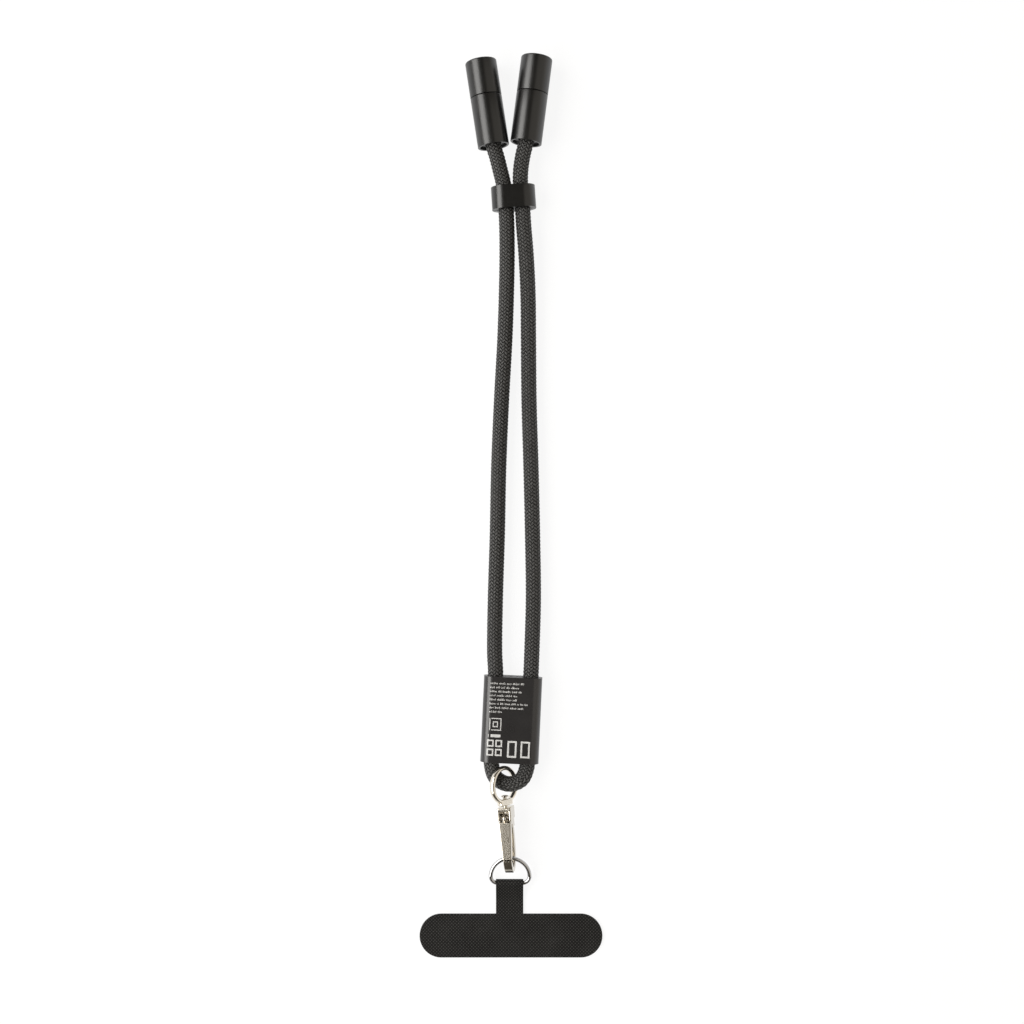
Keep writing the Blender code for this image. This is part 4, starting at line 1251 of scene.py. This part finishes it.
def bent_bar(route, sizes, steps=48):
    """A flat-sided bar along a route of (drop, rise) points.

    sizes gives stations along it: share of its length, width and thickness.
    """
    line = smooth_line([(0.0, HEAD_TOP - drop, rise) for drop, rise in route], 0.25 * MM)
    distance = distances(line)
    along = directions(line)
    shares, widths, thicknesses = np.array(sizes).T
    bm = bar_section()
    pull_up(bm, 1.0, steps)
    for vert in bm.verts:
        share = vert.co.z
        at = share * distance[-1]
        centre = Vector([np.interp(at, distance, line[:, i]) for i in range(3)])
        ahead = Vector([np.interp(at, distance, along[:, i]) for i in range(3)])
        out = ahead.cross(Vector((1.0, 0.0, 0.0))).normalized()
        x = from_side(vert.co.x, np.interp(share, shares, widths) / 2)
        y = from_side(vert.co.y, np.interp(share, shares, thicknesses) / 2)
        vert.co = centre + Vector((x, 0.0, 0.0)) + out * y
    return bm


def from_side(value, half):
    """Keeps a corner's distance from its side when the section is made wider."""
    return math.copysign(half - (1.0 - abs(value)) * MM, value)


print("a bent bar has", BAR_ROUNDING, "mm corners")

# %% Hook body
back = HEAD_BACK - BAR_THICKNESS * 0.45
bowl = HOOK_LENGTH - BAR_THICKNESS / 2 - 0.3 * MM
hook_route = [
    (3.0 * MM, -1.9 * MM), (6.5 * MM, back * 0.76), (9.5 * MM, back * 0.96),
    (14.0 * MM, back), (bowl - 4.2 * MM, back * 0.97), (bowl - 1.5 * MM, back * 0.72),
    (bowl, back * 0.22), (bowl, TIP_RISE * 0.20), (bowl - 0.7 * MM, TIP_RISE * 0.54),
    (bowl - 1.7 * MM, TIP_RISE * 0.70), (bowl - 3.1 * MM, TIP_RISE * 0.83),
    (TIP_DROP + 0.3 * MM, TIP_RISE * 0.90),
]
bm = bent_bar(hook_route, [
    (0.0, BAR_WIDTH, BAR_THICKNESS), (0.55, BAR_WIDTH, BAR_THICKNESS),
    (0.8, BAR_WIDTH * 0.94, BAR_THICKNESS), (1.0, BAR_WIDTH * 0.94, BAR_THICKNESS),
])
for vert in bm.verts:
    front = min(1.0, max(0.0, vert.co.z / (2 * MM)))
    vert.co.x += NOSE_OFFSET * front
half = HEAD_WIDTH / 2
foot_half = HEAD_FOOT_WIDTH / 2
slot = SLOT_WIDTH / 2
cheek_low, cheek_high = HEAD_TOP - HEAD_LENGTH, HEAD_TOP - 0.5 * MM
head_blocks = [
    ((-half, HEAD_TOP - SLOT_TOP, HEAD_BACK), (half, HEAD_TOP, HEAD_FRONT)),
    ((-foot_half, cheek_low, HEAD_BACK), (foot_half, cheek_high, SLOT_FLOOR)),
]
for side in (-1, 1):
    inner, outer = sorted((side * slot, side * half))
    head_blocks.append((
        (inner, pivot.y + 0.8 * MM, HEAD_BACK), (outer, cheek_high, HEAD_FRONT)))
    inner, outer = sorted((side * slot, side * foot_half))
    head_blocks.append((
        (inner, pivot.y - 0.8 * MM, HEAD_BACK),
        (outer, pivot.y + 1.6 * MM, pivot.z + 0.45 * MM)))
    head_blocks.append(((inner, cheek_low, HEAD_BACK), (outer, pivot.y, 0.3 * MM)))
for low, high in head_blocks:
    add_shape(bm, block(low, high, 0.3 * MM))
bm = cast(bm, 0.11 * MM, 3)
add_piece("hook_casting", bm, hook_place, nickel, "hook", ["hook_body"])

# %% [markdown]
# The gate closes the hook: a pressed lever on a pin through the cheeks, narrow inside
# the head and widest just below it. A small thumb knob stands in the head's window, and
# pulling it down swings the tip inwards against the spring.

# %% Gate
GATE_EYE = 2.7 * MM
GATE_EYE_WIDTH = 2.2 * MM
KNOB_RADIUS = 0.85 * MM
pivot_drop = HEAD_TOP - pivot.y
GATE_THICKNESS = 1.8 * MM
GATE_OFFSET = 0.22 * MM           # of the plate from the hook's middle
GATE_FACE = TIP_RISE + 0.7 * MM
plate_rise = GATE_FACE - GATE_THICKNESS / 2
gate_route = [
    (pivot_drop - 0.35 * MM, plate_rise), (pivot_drop + 4.0 * MM, plate_rise),
    (TIP_DROP - 4.0 * MM, plate_rise), (TIP_DROP, plate_rise),
]
bm = bent_bar(gate_route, [
    (0.0, 4.5 * MM, GATE_THICKNESS), (0.5, 3.9 * MM, GATE_THICKNESS),
    (1.0, 3.3 * MM, GATE_THICKNESS),
])
bmesh.ops.translate(bm, vec=(GATE_OFFSET, 0.0, 0.0), verts=bm.verts)
add_shape(bm, block(
    (-GATE_EYE_WIDTH / 2, pivot.y - 1.8 * MM, pivot.z - 0.4 * MM),
    (GATE_EYE_WIDTH / 2, pivot.y + 0.6 * MM, TIP_RISE - 0.2 * MM), 0.25 * MM))
add_shape(bm, block(
    (-0.6 * MM, pivot.y - 0.2 * MM, pivot.z - 0.3 * MM),
    (0.6 * MM, pivot.y + 2.1 * MM, pivot.z + 1.2 * MM), 0.25 * MM))
eye = bmesh.new()
bmesh.ops.create_cone(
    eye, cap_ends=True, segments=40, radius1=GATE_EYE / 2, radius2=GATE_EYE / 2,
    depth=GATE_EYE_WIDTH)
lie = Matrix.Translation(pivot) @ Matrix.Rotation(math.radians(90.0), 4, "Y")
bmesh.ops.transform(eye, matrix=lie, verts=eye.verts)
add_shape(bm, eye)
knob = bmesh.new()
bmesh.ops.create_uvsphere(knob, u_segments=32, v_segments=20, radius=KNOB_RADIUS)
knob_place = Matrix.Translation(pivot + Vector((0.0, 1.7, 1.5)) * MM)
bmesh.ops.transform(
    knob, matrix=knob_place @ Matrix.Diagonal((0.9, 1.0, 0.75, 1.0)), verts=knob.verts)
add_shape(bm, knob)
bm = cast(bm, 0.09 * MM, 3)
add_piece("gate_lever", bm, hook_place, nickel, "gate", ["gate"])

# %% [markdown]
# ## The D-ring
#
# The ring is bent from round wire. A circle, the wire's section, is swept along the
# straight bar and spun round each bend in turn, as the wire is on the bending tool.

# %% D-ring
D_WIRE = 1.45 * MM
D_CORNER = 2.6 * MM
low, high = measured("d_ring", d_place)
d_half = (high.x - low.x - D_WIRE) / 2
d_height = high.y - D_WIRE / 2
WIRE_SIDES = 28


def sweep(bm, rim, steps, cent=(0, 0, 0), angle=0.0, dvec=(0, 0, 0)):
    """Sweeps the open rim on, and returns the new rim."""
    made = bmesh.ops.spin(
        bm, geom=rim, cent=cent, axis=(0, 0, 1), dvec=dvec, angle=angle, steps=steps)
    return made["geom_last"]


bm = bmesh.new()
bmesh.ops.create_circle(bm, segments=WIRE_SIDES, radius=D_WIRE / 2)
quarter = math.radians(90.0)
bmesh.ops.transform(bm, matrix=Matrix.Rotation(quarter, 4, "Y"), verts=bm.verts)
rim = bm.verts[:] + bm.edges[:]
bar_half = d_half - D_CORNER
rim = sweep(bm, rim, 1, dvec=(bar_half, 0.0, 0.0))
rim = sweep(bm, rim, 12, cent=(bar_half, D_CORNER, 0.0), angle=quarter)
rim = sweep(bm, rim, 1, dvec=(0.0, d_height - d_half - D_CORNER, 0.0))
rim = sweep(bm, rim, 48, cent=(0.0, d_height - d_half, 0.0), angle=2 * quarter)
rim = sweep(bm, rim, 1, dvec=(0.0, -(d_height - d_half - D_CORNER), 0.0))
rim = sweep(bm, rim, 12, cent=(-bar_half, D_CORNER, 0.0), angle=quarter)
rim = sweep(bm, rim, 1, dvec=(bar_half, 0.0, 0.0))
bmesh.ops.remove_doubles(bm, verts=bm.verts, dist=0.002 * MM)
bmesh.ops.recalc_face_normals(bm, faces=bm.faces)
add_piece("d_ring_wire", bm, d_place, bright_nickel, "d_ring", ["d_ring"])

# %% [markdown]
# ## The tether
#
# The tether is one T-shaped cut of woven tape: a pad with round ends that lies under a
# phone, and a tab that goes up, round the D-ring's bar and down behind. It is cut flat
# here too, as a fine grid, and then laid along a path that turns round the bar. The
# path comes first, because its length says how long the tab must be cut.

# %% The tab's path
PAD_WIDTH = 65.7 * MM
PAD_HEIGHT = 15.6 * MM
TAB_WIDTH = 9.85 * MM
CLOTH_THICKNESS = 0.36 * MM
TAB_GAP = 0.28 * MM
backing_low, backing_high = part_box("tether_backing")
pad_middle = (backing_low + backing_high) / 2
pad_top = pad_middle.y + PAD_HEIGHT / 2 - bar_point.y
face_level = 0.725 * MM - bar_point.z
tail_level = 0.22 * MM - bar_point.z
turn_radius = D_WIRE / 2 + TAB_GAP + 0.225 * MM
tab_path = [(0.0, pad_top, face_level), (0.0, pad_top * 0.75, face_level),
            (0.0, pad_top * 0.52, face_level)]
tab_path += [
    (0.0, turn_radius * math.cos(angle), turn_radius * math.sin(angle))
    for angle in np.radians(np.linspace(112.0, -96.0, 13))
]
tab_path += [(0.0, pad_top * 0.4, tail_level), (0.0, pad_top + 0.5 * MM, tail_level)]
tab_line = smooth_line(tab_path, 0.1 * MM)
tab_distance = distances(tab_line)
tab_along = directions(tab_line)
print("the tab is cut", round(tab_distance[-1] / MM, 2), "mm long")

# %% The flat cut
CELL = WEAVE_PITCH / 3
tab_shift = (-0.63 + 0.10) * MM


def flat_grid(bm, left, low, width, length):
    """A grid of cells that all share one lattice."""
    columns = round(width / CELL)
    rows = round(length / CELL)
    made = bmesh.ops.create_grid(bm, x_segments=columns, y_segments=rows, size=0.5)
    size = Matrix.Diagonal((columns * CELL, rows * CELL, 1.0, 1.0))
    column, row = round(left / CELL), round(low / CELL)
    middle = Vector((column + columns / 2, row + rows / 2, 0.0)) * CELL
    bmesh.ops.transform(bm, matrix=Matrix.Translation(middle) @ size, verts=made["verts"])


bm = bmesh.new()
flat_grid(bm, -PAD_WIDTH / 2, -PAD_HEIGHT / 2, PAD_WIDTH, PAD_HEIGHT)
flat_grid(bm, tab_shift - TAB_WIDTH / 2, PAD_HEIGHT / 2, TAB_WIDTH, tab_distance[-1])
bmesh.ops.remove_doubles(bm, verts=bm.verts, dist=CELL * 0.2)
print("the flat cut has", len(bm.faces), "cells")

# %% [markdown]
# The pad's ends are cut round: cells outside the cut are dropped, and the ones left at
# the edge are drawn out to the cutting line. The underside, which no one sees, is then
# made one face again.

# %% Cut the round ends
end_radius = PAD_HEIGHT / 2
end_centre = PAD_WIDTH / 2 - end_radius


def past_cut(point):
    """How far a point lies outside the round ends' cutting line."""
    if abs(point.x) < end_centre:
        return -end_radius
    return math.hypot(abs(point.x) - end_centre, point.y) - end_radius


outside = [f for f in bm.faces if past_cut(f.calc_center_median()) > 0]
bmesh.ops.delete(bm, geom=outside, context="FACES")
for vert in bm.verts:
    if vert.is_boundary and abs(vert.co.x) > end_centre:
        middle = Vector((math.copysign(end_centre, vert.co.x), 0.0, 0.0))
        spoke = vert.co - middle
        if spoke.length > end_radius - 2 * CELL:
            vert.co = middle + spoke.normalized() * end_radius
flat_area = sum(f.calc_area() for f in bm.faces)
made = bmesh.ops.extrude_face_region(bm, geom=bm.faces[:])["geom"]
top = [item for item in made if isinstance(item, bmesh.types.BMVert)]
bmesh.ops.translate(bm, vec=(0.0, 0.0, 1.0), verts=top)
bmesh.ops.recalc_face_normals(bm, faces=bm.faces)
tab_start = round(PAD_HEIGHT / 2 / CELL) * CELL
underside = [
    f for f in bm.faces
    if f.normal.z < -0.5 and f.calc_center_median().y < tab_start
]
bmesh.ops.dissolve_faces(bm, faces=underside)
print("cut area, m2:", round(flat_area, 6))

# %% [markdown]
# Now the cloth is laid. Every point keeps its flat place in the map, for the weave. A
# point of the pad moves straight down to the backing, and a point of the tab goes along
# the path, half the cloth's thickness to either side of it. Each crossing of the weave
# also stands proud by a few hundredths of a millimetre.

# %% Lay and fold the cloth
WEAVE_RISE = 0.035 * MM
cloth_mesh = mesh_of(bm, "tether_cloth")
flat = np.empty(len(cloth_mesh.vertices) * 3, np.float32)
cloth_mesh.vertices.foreach_get("co", flat)
flat = flat.reshape(-1, 3).astype(float)
write_chart(cloth_mesh, "weave", flat[:, :2])

u = flat[:, 0] / WEAVE_PITCH
v = flat[:, 1] / WEAVE_PITCH
warp_on_top = (np.floor(u + 0.01) + np.floor(v + 0.01)) % 2
crown = np.abs(np.sin(np.pi * u) * np.sin(np.pi * v))
edge_share = 2 * flat[:, 2] - 1
thickness = CLOTH_THICKNESS / 2 + WEAVE_RISE * crown * (0.4 + 0.6 * warp_on_top)
lift = edge_share * thickness

distance = flat[:, 1] - tab_start
path = [np.interp(distance, tab_distance, tab_line[:, i]) for i in (1, 2)]
along = [np.interp(distance, tab_distance, tab_along[:, i]) for i in (1, 2)]
length = np.hypot(*along)
laid = flat.copy()
laid[:, 0] += pad_middle.x
laid[:, 1] = bar_point.y + path[0] - along[1] / length * lift
laid[:, 2] = bar_point.z + path[1] + along[0] / length * lift
pad = flat[:, 1] < tab_start + CELL / 2
laid[pad, 1] = pad_middle.y + PAD_HEIGHT / 2 + distance[pad]
laid[pad, 2] = bar_point.z + face_level + lift[pad]
cloth_mesh.vertices.foreach_set("co", laid.astype(np.float32).ravel())
cloth_mesh.shade_smooth()
cloth_mesh.set_sharp_from_angle(angle=math.radians(60.0))
cloth_mesh.materials.append(weave_finish)
tether_cloth = linked_object("tether_cloth", cloth_mesh)
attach(tether_cloth, "tether")
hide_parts("tether_face")
print("the cloth's highest point, mm:", round(laid[:, 2].max() / MM, 2))

# %% [markdown]
# The backing is a plain foil of the same outline, under the pad only.

# %% Backing
BACKING_THICKNESS = 0.38 * MM
bm = rounded_bar(
    PAD_WIDTH, PAD_HEIGHT, 0.0, BACKING_THICKNESS, PAD_HEIGHT * 0.4999, 32)
round_edges(bm, 0.08 * MM, 2)
backing_place = Matrix.Translation((pad_middle.x, pad_middle.y, backing_low.z))
backing = add_piece(
    "tether_backing_foil", bm, backing_place, backing_finish, "tether",
    ["tether_backing"])

# %% [markdown]
# ## The parts inside
#
# The CAD model's hidden parts keep their shapes and get real finishes, because they
# show when a cap is pulled or the gate opens.

# %% Dress the hidden parts
hidden_finishes = {
    "sleeve_spacer": black_plastic,
    "gate_pin": steel,
    "gate_spring": steel,
}
for side in ("left_", "right_"):
    hidden_finishes[side + "cap_liner"] = black_plastic
    hidden_finishes[side + "plug_core"] = black_plastic
    hidden_finishes[side + "contact_block"] = black_plastic
    hidden_finishes[side + "circuit_card"] = solder_mask
    hidden_finishes[side + "crimp_ferrule"] = brass
    hidden_finishes[side + "plug_shell"] = steel
for node, finish in hidden_finishes.items():
    for slot in frame["nodes"][node].material_slots:
        slot.material = finish
print(len(hidden_finishes), "hidden parts dressed")

# %% [markdown]
# ## The soft parts
#
# The cord and the two cloths are soft.

print("the cord and the two cloths are soft")

# %% Sizes and the end
look_low, look_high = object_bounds()
print("visual box, mm:", in_millimetres(look_high - look_low))
